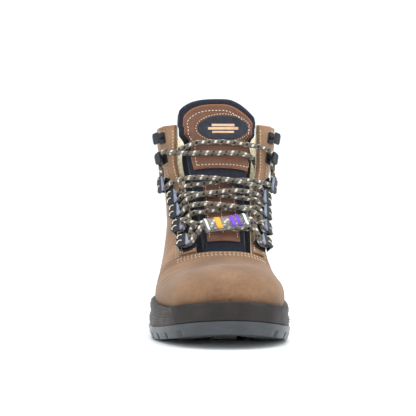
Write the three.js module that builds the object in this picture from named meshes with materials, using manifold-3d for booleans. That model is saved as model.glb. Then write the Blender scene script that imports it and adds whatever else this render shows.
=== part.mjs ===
// Lace-up safety ankle boot for the right foot, built from its separate pieces.
// Millimetres. The toe points to -Y, the inner (medial) side of the foot is +X, and +Z is up.
// The tread rests on the plane Z = 0, and the heel's centre line is X = 0.
import * as THREE from 'three';
import Module from 'manifold-3d';

const wasm = await Module();
wasm.setup();

// ---------------------------------------------------------------- driving dimensions
const SOLE_LENGTH = 296;
const BALL_WIDTH = 112;
const TOE_BOX_HEIGHT = 43.5; // top of the toe dome above the ball's foot line
const COLLAR_HEIGHT = 174; // front corners of the collar above the floor
const TONGUE_ABOVE_COLLAR = 21;
const TOE_SPRING = 12;

const TREAD_DEPTH = 4.5;
const OUTSOLE_BASE = 5.5;
const HEEL_EXTRA = 3; // extra outsole thickness under the heel
const HEEL_BREAST_DEPTH = 4;
const MIDSOLE_BALL = 6.7;
const MIDSOLE_HEEL = 14;
const WALL_HEIGHT = 14; // how far the midsole wall climbs above the foot line
const GUARD_THICKNESS = 3.2;

const LEATHER = 2;
const OVERLAY = 1.4;
const LINING = 1.5;
const STEEL_CAP = 1.8;
const COUNTER = 1.6;
const COLLAR_PAD = 6;
const TONGUE_PAD = 8;
const GUSSET_CLOTH = 0.8;
const TONGUE_FABRIC_EDGE = 5; // padding left showing round the tongue's leather
const BOARD = 2.2;
const FOOTBED = 6;
const SHANK = { width: 16, length: 92, thickness: 1.5 };

const LACE_DIAMETER = 4.2;
const POST_RADIUS = 1.4; // the lace turns round this inside each loop
const PLATE = 1.2; // base and cover thickness of the lace hardware
const LACE_ROWS = 7; // four pairs of lace loops, one of ankle loops, two of speed hooks
const TAG = { length: 38, height: 13, depth: 6.2, wall: 0.6 };

const GAP = 0.3; // clearance between touching pieces
const LAYER_GAP = 0.55; // the same between curved sheets that lie on each other
const TONGUE_GAP = 0.95; // and on the tongue, which bends more sharply
const COUNTER_GAP = 1.9; // and round the tight bend of the heel
const SEAM = 0.07; // gap between sheets sewn edge to edge, in stations
const LACE_CLEARANCE = 0.35;
const FOOT_SEAT = 1.2; // cement line between the leather and the midsole cup

// ---------------------------------------------------------------- small helpers
const mix = (a, b, t) => a + (b - a) * t;
const clamp01 = (t) => Math.min(1, Math.max(0, t));
const vec = (x, y, z) => new THREE.Vector3(x, y, z);

function smooth(from, to, x) {
  const t = clamp01((x - from) / (to - from));
  return t * t * (3 - 2 * t);
}

// Catmull-Rom value at a fractional place in a list of numbers
function alongList(list, place) {
  const last = list.length - 1;
  const i = Math.min(last - 1, Math.max(0, Math.floor(place)));
  const t = place - i;
  const b = list[i];
  const c = list[i + 1];
  const a = i > 0 ? list[i - 1] : 2 * b - c;
  const d = i + 2 <= last ? list[i + 2] : 2 * c - b;
  return b + 0.5 * t * (c - a + t * (2 * a - 5 * b + 4 * c - d + t * (3 * (b - c) + d - a)));
}

// ---------------------------------------------------------------- closed meshes
// Geometry from points and triangles, with coincident points merged and the faces turned outward
function closedGeometry(points, triangles) {
  const numberOf = new Map();
  const kept = [];
  const index = points.map((p) => {
    const key = [p.x, p.y, p.z].map((n) => Math.round(n * 1e3)).join();
    if (!numberOf.has(key)) {
      numberOf.set(key, kept.length);
      kept.push(p);
    }
    return numberOf.get(key);
  });
  const faces = triangles
    .map((t) => t.map((i) => index[i]))
    .filter(([a, b, c]) => a !== b && b !== c && c !== a);
  let volume = 0;
  for (const [a, b, c] of faces) {
    volume += kept[a].dot(vec(0, 0, 0).crossVectors(kept[b], kept[c]));
  }
  if (volume < 0) {
    faces.forEach((t) => t.reverse());
  }
  const geometry = new THREE.BufferGeometry();
  const flat = kept.flatMap((p) => [p.x, p.y, p.z]);
  geometry.setAttribute('position', new THREE.Float32BufferAttribute(flat, 3));
  geometry.setIndex(faces.flat());
  return geometry;
}

// The same for a geometry class's result, whose corners are stored once per face
function merged(source) {
  const at = source.getAttribute('position');
  const points = [];
  for (let i = 0; i < at.count; i += 1) {
    points.push(vec(at.getX(i), at.getY(i), at.getZ(i)));
  }
  const order = source.index ? [...source.index.array] : points.map((_, i) => i);
  const triangles = [];
  for (let i = 0; i < order.length; i += 3) {
    triangles.push(order.slice(i, i + 3));
  }
  return closedGeometry(points, triangles);
}

// A thick sheet between two grids of points, closed round its rim
function sheet(outer, inner) {
  const rows = outer.length;
  const cols = outer[0].length;
  const points = [...outer.flat(), ...inner.flat()];
  const id = (layer, r, c) => layer * rows * cols + r * cols + c;
  const triangles = [];
  const quad = (a, b, c, d) => triangles.push([a, b, c], [a, c, d]);
  for (let r = 0; r + 1 < rows; r += 1) {
    for (let c = 0; c + 1 < cols; c += 1) {
      quad(id(0, r, c), id(0, r, c + 1), id(0, r + 1, c + 1), id(0, r + 1, c));
      quad(id(1, r, c), id(1, r + 1, c), id(1, r + 1, c + 1), id(1, r, c + 1));
    }
    quad(id(0, r, 0), id(0, r + 1, 0), id(1, r + 1, 0), id(1, r, 0));
    quad(id(0, r + 1, cols - 1), id(0, r, cols - 1), id(1, r, cols - 1), id(1, r + 1, cols - 1));
  }
  for (let c = 0; c + 1 < cols; c += 1) {
    quad(id(0, 0, c + 1), id(0, 0, c), id(1, 0, c), id(1, 0, c + 1));
    quad(id(0, rows - 1, c), id(0, rows - 1, c + 1), id(1, rows - 1, c + 1), id(1, rows - 1, c));
  }
  return closedGeometry(points, triangles);
}

// A solid through rings of equal size, its ends closed by strips between the ring's two halves
function loft(rings) {
  const size = rings[0].length;
  const points = rings.flat();
  const triangles = [];
  const quad = (a, b, c, d) => triangles.push([a, b, c], [a, c, d]);
  for (let r = 0; r + 1 < rings.length; r += 1) {
    for (let i = 0; i < size; i += 1) {
      const j = (i + 1) % size;
      quad(r * size + i, r * size + j, (r + 1) * size + j, (r + 1) * size + i);
    }
  }
  const top = (rings.length - 1) * size;
  for (let i = 0; i < size / 2; i += 1) {
    const [a, b, c, d] = [i, i + 1, size - i - 1, (size - i) % size];
    quad(a, d, c, b);
    quad(top + a, top + b, top + c, top + d);
  }
  return closedGeometry(points, triangles);
}

function solid(geometry) {
  return new wasm.Manifold(
    new wasm.Mesh({
      numProp: 3,
      vertProperties: geometry.getAttribute('position').array,
      triVerts: new Uint32Array(geometry.index.array),
    }),
  );
}

function geometryOf(manifold) {
  const { numProp, vertProperties, triVerts } = manifold.getMesh();
  const points = [];
  for (let i = 0; i < vertProperties.length; i += numProp) {
    points.push(vec(vertProperties[i], vertProperties[i + 1], vertProperties[i + 2]));
  }
  const triangles = [];
  for (let i = 0; i < triVerts.length; i += 3) {
    triangles.push([...triVerts.slice(i, i + 3)]);
  }
  return closedGeometry(points, triangles);
}

// ---------------------------------------------------------------- sole lines
const HALF_LENGTH = SOLE_LENGTH / 2;
const LENGTH_SCALE = SOLE_LENGTH / 296;
const WIDTH_SCALE = BALL_WIDTH / 112;

// Centre and half width of the sole from toe to heel, before its ends are rounded
const SOLE_PLAN = {
  centre: [6, 4.2, 2.5, 0.2, -1.8, -4.3, -5.5, -5, -3.2, -1.2, -0.2, 0, 0],
  half: [53, 54, 54.6, 55.6, 55.2, 50.6, 44.2, 39.6, 37.8, 38.2, 38.5, 38.3, 38],
};
const TOE_ROUND = { share: 0.58, power: 2.3 };
const HEEL_ROUND = { share: 0.28, power: 2.15 };

// Lateral (side -1) or medial (side 1) edge of the sole at y, drawn in by inset
function soleEdge(y, side, inset) {
  const t = Math.max(-1, Math.min(1, y / (HALF_LENGTH - inset)));
  const place = ((t + 1) / 2) * (SOLE_PLAN.centre.length - 1);
  const centre = alongList(SOLE_PLAN.centre, place) * WIDTH_SCALE;
  const half = alongList(SOLE_PLAN.half, place) * WIDTH_SCALE - inset;
  const end = t < 0 ? TOE_ROUND : HEEL_ROUND;
  const k = Math.max(0, (Math.abs(t) - (1 - end.share)) / end.share);
  return centre + side * half * (1 - k ** end.power) ** (1 / end.power);
}

const BALL_Y = -60 * LENGTH_SCALE;
const HEEL_Y = 100 * LENGTH_SCALE;

// Underside of the tread: flat, rising in a curve to the toe
function ground(y) {
  const rise = Math.max(0, (BALL_Y - y) / (BALL_Y + HALF_LENGTH));
  return TOE_SPRING * rise ** 1.8;
}

const heelShare = (y) => smooth(BALL_Y / 2, HEEL_Y, y);
const outsoleTop = (y) => ground(y) + TREAD_DEPTH + OUTSOLE_BASE + HEEL_EXTRA * heelShare(y);
const footLine = (y) => outsoleTop(y) + GAP + mix(MIDSOLE_BALL, MIDSOLE_HEEL, heelShare(y));

function wallTop(y) {
  const toeDrop = 3 * smooth(BALL_Y, -HALF_LENGTH, y);
  return footLine(y) + WALL_HEIGHT - toeDrop;
}

// Closed loop of points round the sole: down the lateral side from the toe, back up the medial
// side. A share below 1 keeps only that part of the width.
function soleRing(inset, height, steps, share = 1) {
  const reach = HALF_LENGTH - inset;
  const ring = [];
  for (let i = 0; i < 2 * steps; i += 1) {
    const y = -reach * Math.cos((Math.PI * i) / steps);
    const side = i <= steps ? -1 : 1;
    const edge = soleEdge(y, side, inset);
    const across = soleEdge(y, -side, inset);
    ring.push(vec(mix((edge + across) / 2, edge, share), y, height(y)));
  }
  return ring;
}

// A plate that follows the sole's plan between two heights
function solePlate(inset, low, high, steps, share = 1) {
  return loft([soleRing(inset, low, steps, share), soleRing(inset, high, steps, share)]);
}

// ---------------------------------------------------------------- the upper's outer skin
// Each station is a section across the boot, running from a point on the bottom or back line to
// one on the top or front line: upright at the toe, and leaning over until it is level at the
// collar. y and widths in millimetres on the 296 x 112 sole; heights above the foot line.
const STATIONS = [
  // topY, topUp, backY, backUp, centre, ridge, half width, widest at, low power, high power
  [-140, 20, -140, 12.5, 6, 6.5, 0, 0.5, 2, 2],
  [-138.8, 26.5, -138.8, 6.5, 5.9, 7, 13.4, 0.4, 2.1, 2],
  [-135.5, 32, -135.5, 3.3, 5.7, 7.5, 21, 0.36, 2.2, 2],
  [-129, 37, -129, 1.6, 5.2, 8, 29.4, 0.34, 2.4, 2.05],
  [-119, 41, -119, 0.5, 4.5, 8.5, 37, 0.33, 2.6, 2.1],
  [-106, 43.5, -106, 0, 3.6, 8.5, 43.2, 0.33, 2.7, 2.15],
  [-90, 43.6, -90, 0, 2.5, 8, 47.6, 0.34, 2.7, 2.15],
  [-72, 42.8, -72, 0, 0.8, 7, 50.4, 0.35, 2.7, 2.1],
  [-54, 45, -52, 0, -0.9, 6, 50.6, 0.36, 2.7, 2.1],
  [-38, 51, -28, 0, -2.5, 5, 49, 0.37, 2.7, 2.15],
  [-25, 62, 4, 0, -3.4, 4.2, 46, 0.42, 2.7, 2.25],
  [-13, 74, 45, 0, -3, 3.4, 43.2, 0.53, 2.8, 2.3],
  [-2, 86, 88, 0, -1.8, 2.6, 42.2, 0.64, 3, 2.35],
  [7, 98, 124, 2, -0.8, 1.8, 42.2, 0.7, 3, 2.4],
  [14, 110, 139.5, 14, -0.4, 1, 43, 0.71, 2.7, 2.4],
  [19, 121.5, 142.5, 37, 0, 0.5, 44.4, 0.7, 2.6, 2.4],
  [22.5, 132.5, 140.5, 62, 0, 0, 46.6, 0.67, 2.55, 2.4],
  [25, 143, 137.5, 88, 0, 0, 49, 0.63, 2.5, 2.4],
  [26.5, 152, 136, 112, 0, 0, 51, 0.61, 2.45, 2.4],
  [27, 157, 136.5, 134, 0, 0, 52, 0.6, 2.4, 2.4],
  [25, 178, 138, 156, 0, 0, 52, 0.6, 2.4, 2.4],
];
const THROAT = 9;
const COLLAR = 19;
const TONGUE_TOP = 20;
const THROAT_UP = STATIONS[THROAT][1];
const COLLAR_UP = STATIONS[COLLAR][1];
const STATION_TOE_BOX = STATIONS[6][1];
const column = (k) => STATIONS.map((row) => row[k]);

const BASE = footLine(BALL_Y);
const TOE_SCALE = TOE_BOX_HEIGHT / STATION_TOE_BOX;
const THROAT_HEIGHT = THROAT_UP * TOE_SCALE;
const SHAFT_SCALE = (COLLAR_HEIGHT - BASE - THROAT_HEIGHT) / (COLLAR_UP - THROAT_UP);

// Height of a top-line point above the foot line
function topRise(up) {
  if (up <= THROAT_UP) {
    return up * TOE_SCALE;
  }
  if (up <= COLLAR_UP) {
    return THROAT_HEIGHT + (up - THROAT_UP) * SHAFT_SCALE;
  }
  return COLLAR_HEIGHT - BASE + ((up - COLLAR_UP) / 21) * TONGUE_ABOVE_COLLAR;
}

const BACK_SCALE = (COLLAR_HEIGHT - footLine(HEEL_Y)) / 146;
const LINES = {
  topY: column(0).map((y) => y * LENGTH_SCALE),
  topZ: column(1).map((up) => BASE + topRise(up)),
  backY: column(2).map((y) => y * LENGTH_SCALE),
  backZ: STATIONS.map((row, i) => {
    const scale = i < THROAT ? TOE_SCALE : BACK_SCALE;
    return footLine(Math.min(row[2] * LENGTH_SCALE, HEEL_Y)) + row[3] * scale;
  }),
  centre: column(4).map((x) => x * WIDTH_SCALE),
  ridge: column(5).map((x) => x * WIDTH_SCALE),
  half: column(6).map((x) => x * WIDTH_SCALE),
  widest: column(7),
  low: column(8),
  high: column(9),
};
LINES.topZ[0] = mix(LINES.topZ[1], LINES.backZ[1], 0.5);
LINES.backZ[0] = LINES.topZ[0];

// Point of the skin at station u, with v from 0 (bottom or back) by 0.25 (lateral side) and
// 0.5 (top or front) to 0.75 (medial side)
function skin(u, v) {
  const at = (line) => alongList(LINES[line], u);
  const angle = 2 * Math.PI * v;
  const up = -Math.cos(angle);
  const out = Math.abs(Math.sin(angle));
  const power = 2 / (up < 0 ? at('low') : at('high'));
  const widest = at('widest');
  const s = widest + (up < 0 ? -widest : 1 - widest) * Math.abs(up) ** power;
  const side = v > 0.5 || v < 0 ? 1 : -1;
  const lean = Math.max(0, (s - widest) / (1 - widest)) ** 1.5;
  const x = mix(at('centre'), at('ridge'), lean) + side * Math.max(0, at('half')) * out ** power;
  return vec(x, mix(at('backY'), at('topY'), s), mix(at('backZ'), at('topZ'), s));
}

function skinNormal(u, v) {
  if (u < 0.02) {
    return vec(0, -1, 0);
  }
  const du = 0.02;
  const dv = 0.004;
  const alongU = skin(u + du, v).sub(skin(u - du, v));
  const alongV = skin(u, v + dv).sub(skin(u, v - dv));
  return alongV.cross(alongU).normalize();
}

function onSkin(u, v, offset) {
  return skin(u, v).addScaledVector(skinNormal(u, v), offset);
}

// v of the place on the top or front of station u that lies `spread` from the ridge line
function frontV(u, spread, side) {
  const ridge = alongList(LINES.ridge, u);
  let near = 0;
  let far = 0.25;
  for (let i = 0; i < 24; i += 1) {
    const middle = (near + far) / 2;
    const reach = side * (skin(u, 0.5 + side * middle).x - ridge);
    if (reach < spread) {
      near = middle;
    } else {
      far = middle;
    }
  }
  return 0.5 + side * near;
}

// [station, v] of the place on the front of the boot at height z and `spread` from the ridge
function frontPlace(z, spread, side) {
  let low = THROAT - 1;
  let high = TONGUE_TOP;
  for (let i = 0; i < 24; i += 1) {
    const middle = (low + high) / 2;
    if (skin(middle, frontV(middle, spread, side)).z < z) {
      low = middle;
    } else {
      high = middle;
    }
  }
  return [low, frontV(low, spread, side)];
}

// ---------------------------------------------------------------- sheets on the skin
// place(a, b) gives [u, v] for a and b from 0 to 1; outer and inner give offsets from the skin
function skinSheet(rows, cols, place, outer, inner) {
  const grid = (offset) => {
    const points = [];
    for (let r = 0; r <= rows; r += 1) {
      const line = [];
      for (let c = 0; c <= cols; c += 1) {
        const [u, v] = place(r / rows, c / cols);
        line.push(onSkin(u, v, offset(u, v)));
      }
      points.push(line);
    }
    return points;
  };
  return sheet(grid(outer), grid(inner));
}

// Closed solid of the whole skin, grown or shrunk by offset, up to station `end`
function skinSolid(offset, end, rows, around) {
  const rings = [];
  for (let r = 0; r <= rows; r += 1) {
    const u = end * (r / rows) ** 1.2;
    const ring = [];
    for (let i = 0; i < around; i += 1) {
      ring.push(onSkin(u, i / around, offset));
    }
    rings.push(ring);
  }
  return loft(rings);
}

// ---------------------------------------------------------------- zones of the upper
// Half width of the throat opening between the two eyestays
const OPENING = { throat: 23, ankle: 27, hooks: 35.5 };
function opening(u) {
  const low = mix(OPENING.throat, OPENING.ankle, smooth(THROAT, 12.5, u));
  return mix(low, OPENING.hooks, smooth(12, 16, u)) * WIDTH_SCALE;
}

const eyestayV = (u, side, extra) => frontV(u, opening(u) + extra, side);

// The vamp ends straight across the throat and runs back down the sides
const VAMP_SWEEP = 2.1;
const vampEnd = (v) => THROAT + VAMP_SWEEP * (Math.abs(v - 0.5) / 0.42) ** 1.6;

// Lower edge of the upper's sheets: turned under the foot, and meeting at the back above it
const LASTED = 0.1;
const BACK_SEAM = 0.0007;
const hemV = (u) => mix(LASTED, BACK_SEAM, smooth(12.2, 13.8, u));

const CAP_END = 6.5;
const capZone = (u) => 1 - smooth(CAP_END + 0.1, CAP_END + 1.2, u);

const COUNTER_SPAN = { from: 12.4, to: 16.2, v: 0.17 };
function counterZone(u, v) {
  const around = Math.min(v, 1 - v);
  const rising = smooth(COUNTER_SPAN.from - 0.9, COUNTER_SPAN.from - 0.1, u);
  const falling = 1 - smooth(COUNTER_SPAN.to + 0.1, COUNTER_SPAN.to + 0.9, u);
  const side = 1 - smooth(COUNTER_SPAN.v + 0.01, COUNTER_SPAN.v + 0.05, around);
  return rising * falling * side;
}

// Share of the full collar padding at a place
const PAD_FROM = 16.4;
function padZone(u, v) {
  const rising = smooth(PAD_FROM - 0.3, PAD_FROM + 1.2, u);
  const front = smooth(0.125, 0.19, Math.abs(v - 0.5));
  const top = 1 - 0.55 * smooth(COLLAR - 0.9, COLLAR, u);
  return rising * front * top;
}

const UNDER_LEATHER = -(LEATHER + LAYER_GAP);
function insertDepth(u, v) {
  const cap = (STEEL_CAP + 2 * LAYER_GAP) * capZone(u);
  const counter = (COUNTER + COUNTER_GAP + LAYER_GAP) * counterZone(u, v);
  const pad = COLLAR_PAD * padZone(u, v);
  return Math.max(cap, counter, pad);
}
const liningOuter = (u, v) => UNDER_LEATHER - insertDepth(u, v);
const liningInner = (u, v) => liningOuter(u, v) - LINING;

// ---------------------------------------------------------------- sole unit
// Grooves between the tread blocks, cut in from both edges and across the forefoot
function treadGrooves() {
  const grooves = [];
  const pitch = 17;
  const width = 3.6;
  const count = Math.floor((SOLE_LENGTH - 36) / pitch);
  for (let i = 0; i <= count; i += 1) {
    const y = -HALF_LENGTH + 20 + i * pitch;
    for (const side of [-1, 1]) {
      const reach = 23;
      const bar = new THREE.BoxGeometry(reach * 2, width, TREAD_DEPTH * 2);
      bar.rotateZ(side * 0.32);
      bar.translate(soleEdge(y, side, 0), y, ground(y));
      grooves.push(solid(merged(bar)));
    }
    if (i % 2 === 0 && i > 1 && i < count - 1) {
      const bar = new THREE.BoxGeometry(34, width, TREAD_DEPTH * 1.6);
      bar.rotateZ(i % 4 === 0 ? 0.45 : -0.45);
      bar.translate(0, y + pitch / 2, ground(y));
      grooves.push(solid(merged(bar)));
    }
  }
  return grooves;
}

function outsole() {
  const steps = 24;
  const bottomEdge = (y) => ground(y) + 0.8;
  const body = loft([
    soleRing(2.2, ground, steps),
    soleRing(0.6, bottomEdge, steps),
    soleRing(0.2, outsoleTop, steps),
  ]);
  const breast = new THREE.BoxGeometry(140, 26 * LENGTH_SCALE, HEEL_BREAST_DEPTH * 2);
  breast.translate(0, 44 * LENGTH_SCALE, 0);
  let result = solid(body).subtract(solid(merged(breast)));
  for (const groove of treadGrooves()) {
    result = result.subtract(groove);
  }
  return geometryOf(result);
}

// Wrap-round toe guard, or the space it needs when grown by a clearance
const GUARD_BACK = { lateral: -121, medial: -112 };
function guardBody(grow) {
  const steps = 28;
  const low = (y) => outsoleTop(y) + GAP - grow;
  const high = (y) => wallTop(y) + 1.5 + grow;
  const outside = solid(solePlate(-0.2 - grow, low, high, steps));
  const inside = solid(
    solePlate(GUARD_THICKNESS + grow, (y) => low(y) - 5, (y) => high(y) + 5, steps),
  );
  const back = new THREE.BoxGeometry(300, SOLE_LENGTH * 2, 300);
  const slope = Math.atan2(GUARD_BACK.medial - GUARD_BACK.lateral, 90);
  back.rotateX(-0.35);
  back.rotateZ(slope);
  const middle = ((GUARD_BACK.lateral + GUARD_BACK.medial) / 2) * LENGTH_SCALE;
  back.translate(0, middle + SOLE_LENGTH + 9 + grow, 30);
  return outside.subtract(inside).subtract(solid(merged(back)));
}

function toeGuard(footSpace) {
  return geometryOf(guardBody(0).subtract(footSpace));
}

// Cupped midsole: the foot sits down into it
function midsole(footSpace) {
  const steps = 20;
  const low = (y) => outsoleTop(y) + GAP;
  const level = (share) => (y) => mix(low(y), wallTop(y), share);
  const body = loft([
    soleRing(1.2, low, steps),
    soleRing(0.4, level(0.3), steps),
    soleRing(1.4, level(0.42), steps),
    soleRing(1.4, level(0.5), steps),
    soleRing(0.9, level(0.6), steps),
    soleRing(2.2, wallTop, steps),
  ]);
  const underFoot = fillerPlate(GAP, 0, LEATHER + MIDSOLE_BALL);
  return geometryOf(solid(body).subtract(footSpace).subtract(guardBody(GAP)).subtract(underFoot));
}

// Layers stacked on the midsole under the foot, each a plate trimmed to the inside of the boot
const FILLER_LOW = GAP;
const FILLER_HIGH = LEATHER;
const BOARD_LOW = LEATHER + GAP;
const BOARD_HIGH = BOARD_LOW + BOARD;
const FOOTBED_LOW = BOARD_HIGH + GAP;
const FOOTBED_HIGH = FOOTBED_LOW + FOOTBED;
const above = (height) => (y) => footLine(y) + height;

function shankPlate(grow) {
  const steps = 8;
  const half = SHANK.width / 2 + grow;
  const from = 0;
  const length = SHANK.length + 2 * grow;
  const rows = [FILLER_LOW - 5 * grow, FILLER_LOW + SHANK.thickness + 5 * grow].map((up) => {
    const lines = [];
    for (let i = 0; i <= steps; i += 1) {
      const y = from - grow + (length * i) / steps;
      const z = footLine(y) + up;
      lines.push([vec(-half - 3, y, z), vec(half - 3, y, z)]);
    }
    return lines;
  });
  return sheet(rows[1], rows[0]);
}

// The space between the turned-under edges of the leather, grown sideways by a clearance
const FILLER_SHARE = 0.52;
const FILLER_INSET = 14;
function fillerPlate(grow, low, high) {
  return solid(solePlate(FILLER_INSET - grow, above(low), above(high), 20, FILLER_SHARE));
}

// Cork filler with a slot for the shank
function bottomFiller() {
  const plate = fillerPlate(0, FILLER_LOW, FILLER_HIGH);
  return geometryOf(plate.subtract(solid(shankPlate(GAP))));
}

function insoleBoard(insideLeather) {
  const plate = solid(solePlate(4, above(BOARD_LOW), above(BOARD_HIGH), 18));
  return geometryOf(plate.intersect(insideLeather));
}

// Rests on the board between the turned-in edges of the lining, and on those edges at its rim
function footbed(insideLining) {
  const rim = solid(solePlate(4, above(FOOTBED_LOW), above(FOOTBED_HIGH), 14));
  const middle = solid(solePlate(26, above(FOOTBED_LOW), above(FOOTBED_HIGH - 2 * GAP), 18, 0.45));
  return geometryOf(rim.intersect(insideLining).add(middle));
}

// Takes away whatever reaches below the top of the insole board
function seatedOnBoard(geometry) {
  const below = solid(solePlate(-6, above(-12), above(BOARD_HIGH + GAP), 16));
  return geometryOf(solid(geometry).subtract(below));
}

// ---------------------------------------------------------------- leather, lining and stiffeners
const level = (offset) => () => offset;

function vampPlace(a, b) {
  const v = mix(LASTED, 1 - LASTED, b);
  return [(vampEnd(v) - SEAM) * a ** 1.25, v];
}

function vamp() {
  return skinSheet(12, 20, vampPlace, level(0), level(-LEATHER));
}

function vampLining() {
  return seatedOnBoard(skinSheet(12, 16, vampPlace, liningOuter, liningInner));
}

function steelToeCap() {
  const place = (a, b) => [CAP_END * a ** 1.25, mix(LASTED, 1 - LASTED, b)];
  const cap = skinSheet(8, 18, place, level(UNDER_LEATHER), level(UNDER_LEATHER - STEEL_CAP));
  return seatedOnBoard(cap);
}

// Side panel of leather or lining, from its hem to the edge of the throat opening
const SIDE_ROWS = 14;
const SIDE_COLUMNS = 14;
function sidePlace(side, extra, top) {
  return (a, b) => {
    const start = vampEnd(0.5 + side * mix(0.085, 0.5 - LASTED, 1 - b));
    const u = mix(start + SEAM / 2, top, a ** 1.2);
    const edge = side * (eyestayV(u, side, extra) - 0.5);
    const hem = 0.5 - hemV(u);
    return [u, 0.5 + side * mix(hem, edge, b)];
  };
}

function quarter(side) {
  const place = sidePlace(side, 0, COLLAR);
  return skinSheet(SIDE_ROWS, SIDE_COLUMNS, place, level(0), level(-LEATHER));
}

// Mesh lining, rolled outward over the collar's padding at its top edge
function sideLining(side) {
  const rolled = (inner) => (u, v) => {
    const roll = smooth(COLLAR - 0.45, COLLAR + 0.12, u);
    return mix(liningOuter(u, v), UNDER_LEATHER - 0.4, roll) - inner;
  };
  const place = sidePlace(side, 0.3, COLLAR - 0.02);
  return seatedOnBoard(skinSheet(SIDE_ROWS, SIDE_COLUMNS, place, rolled(0), rolled(LINING)));
}

// Leather reinforcement along the throat opening, which carries the lace hardware
const EYESTAY_COLUMNS = 2;
function eyestay(side) {
  const whole = sidePlace(side, 0, COLLAR);
  const place = (a, b) => whole(a, mix(1 - EYESTAY_COLUMNS / SIDE_COLUMNS, 1, b));
  return skinSheet(SIDE_ROWS, EYESTAY_COLUMNS, place, level(LAYER_GAP + OVERLAY), level(LAYER_GAP));
}

function backstay() {
  const place = (a, b) => {
    const width = 0.062 - 0.022 * Math.sin(Math.PI * clamp01(a * 1.1));
    return [mix(14.35, COLLAR - 0.05, a), mix(-width, width, b)];
  };
  return skinSheet(10, 6, place, level(LAYER_GAP + OVERLAY), level(LAYER_GAP));
}

function heelCounter() {
  const { from, to, v } = COUNTER_SPAN;
  const place = (a, b) => [mix(from, to, a), mix(-v, v, b)];
  const low = -LEATHER - COUNTER_GAP;
  const cup = solid(seatedOnBoard(skinSheet(8, 14, place, level(low), level(low - COUNTER))));
  const underHeel = solid(solePlate(18, above(0), above(FOOTBED_HIGH + GAP), 16));
  return geometryOf(cup.subtract(underHeel));
}

function collarPad(side) {
  const place = (a, b) => {
    const u = mix(PAD_FROM + 0.2, COLLAR - 0.5, a);
    return [u, 0.5 + side * mix(0.16, 0.495, b)];
  };
  const depth = (u, v) => UNDER_LEATHER - Math.max(0.3, COLLAR_PAD * padZone(u, v) - 2 * LAYER_GAP);
  return skinSheet(5, 12, place, level(UNDER_LEATHER), depth);
}

// ---------------------------------------------------------------- tongue
const TONGUE_FROM = THROAT - 0.25;
const tongueHalf = (u) => opening(u) + mix(3, -1.5, smooth(16.1, 17.3, u)) * WIDTH_SCALE;

// Offset of the tongue's outer face: level with the skin in the opening, tucked under its edges
function tongueFace(u, v) {
  const side = v > 0.5 ? 1 : -1;
  const spread = Math.abs(v - 0.5) / Math.abs(frontV(u, tongueHalf(u), side) - 0.5);
  const underLining = UNDER_LEATHER - LINING - GUSSET_CLOTH - 2 * TONGUE_GAP - GAP;
  const underLace = UNDER_LEATHER - LINING - LACE_DIAMETER - 3 * LAYER_GAP;
  const tucked = mix(underLining, underLace, smooth(13.6, 15, u));
  const free = mix(-1, -0.2, smooth(13, 17, u)) - 1.5 * spread ** 4;
  const edge = smooth(0.53, 0.73, spread) * (1 - smooth(17.05, 17.7, u));
  const root = 1 - smooth(THROAT + 0.1, THROAT + 1, u);
  return mix(free, tucked, Math.max(edge, root));
}

function tongueThickness(u, v) {
  const side = v > 0.5 ? 1 : -1;
  const spread = Math.abs(v - 0.5) / Math.abs(frontV(u, tongueHalf(u), side) - 0.5);
  const full = mix(4, TONGUE_PAD, smooth(THROAT, 15, u));
  return full * (1 - 0.55 * clamp01(spread) ** 3) * (1 - 0.4 * smooth(19, 20, u));
}

// Tongue place: a runs up from `from` to `to`, b across, margin mm inside the padded edge
function tonguePlace(from, to, half, roundness) {
  return (a, b) => {
    const across = 2 * b - 1;
    const end = to - roundness * Math.abs(across) ** 4;
    const u = mix(from, end, a);
    const side = across > 0 ? 1 : -1;
    const edge = frontV(u, half(u) * Math.abs(across), side);
    return [u, Math.abs(across) < 1e-6 ? 0.5 : edge];
  };
}

function onTongue(low, high) {
  return [(u, v) => tongueFace(u, v) + high, (u, v) => tongueFace(u, v) + low];
}

function tonguePad() {
  const place = tonguePlace(TONGUE_FROM, TONGUE_TOP, tongueHalf, 0.7);
  const back = (u, v) => tongueFace(u, v) - tongueThickness(u, v);
  return skinSheet(16, 12, place, tongueFace, back);
}

const OVERLAY_FROM = 14.3;
const overlayHalf = (u) => tongueHalf(u) - TONGUE_FABRIC_EDGE - 8 * (1 - smooth(16.6, 18, u));
function tongueOverlay() {
  const place = tonguePlace(OVERLAY_FROM, TONGUE_TOP - 0.3, overlayHalf, 0.55);
  return skinSheet(9, 12, place, ...onTongue(TONGUE_GAP, TONGUE_GAP + OVERLAY));
}

const STRIP_HALF = 13.5;
function tongueStrip() {
  const place = tonguePlace(THROAT + 0.75, OVERLAY_FROM - 0.75, () => STRIP_HALF, 0);
  return skinSheet(7, 4, place, ...onTongue(TONGUE_GAP, TONGUE_GAP + OVERLAY));
}

// Oval badge sewn to the tongue's leather
const BADGE = { height: 0.845, across: 5, halfWidth: 21, halfHeight: 11, thickness: 0.9 };
function tongueBadge() {
  const z = mix(BASE + THROAT_HEIGHT, LINES.topZ[TONGUE_TOP], BADGE.height - 0.04);
  const place = (a, b) => {
    const turn = Math.PI * a;
    const x = BADGE.across + BADGE.halfWidth * Math.sin(turn) * (2 * b - 1);
    const up = z - BADGE.halfHeight * Math.cos(turn);
    return frontPlace(up, Math.abs(x), x > 0 ? 1 : -1);
  };
  const low = TONGUE_GAP + OVERLAY + LAYER_GAP;
  return skinSheet(8, 6, place, ...onTongue(low, low + BADGE.thickness));
}

// Folded cloth that closes the gap between the tongue's edge and the eyestay
const GUSSET_TOP = 13.4;
function gusset(side) {
  const place = (a, b) => {
    const u = mix(THROAT + 0.7, GUSSET_TOP, a);
    const spread = mix(tongueHalf(u) - 2, tongueHalf(u) + 4, b);
    return [u, frontV(u, spread, side)];
  };
  const low = TONGUE_GAP + GAP;
  return skinSheet(8, 2, place, ...onTongue(low, low + GUSSET_CLOTH));
}


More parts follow.
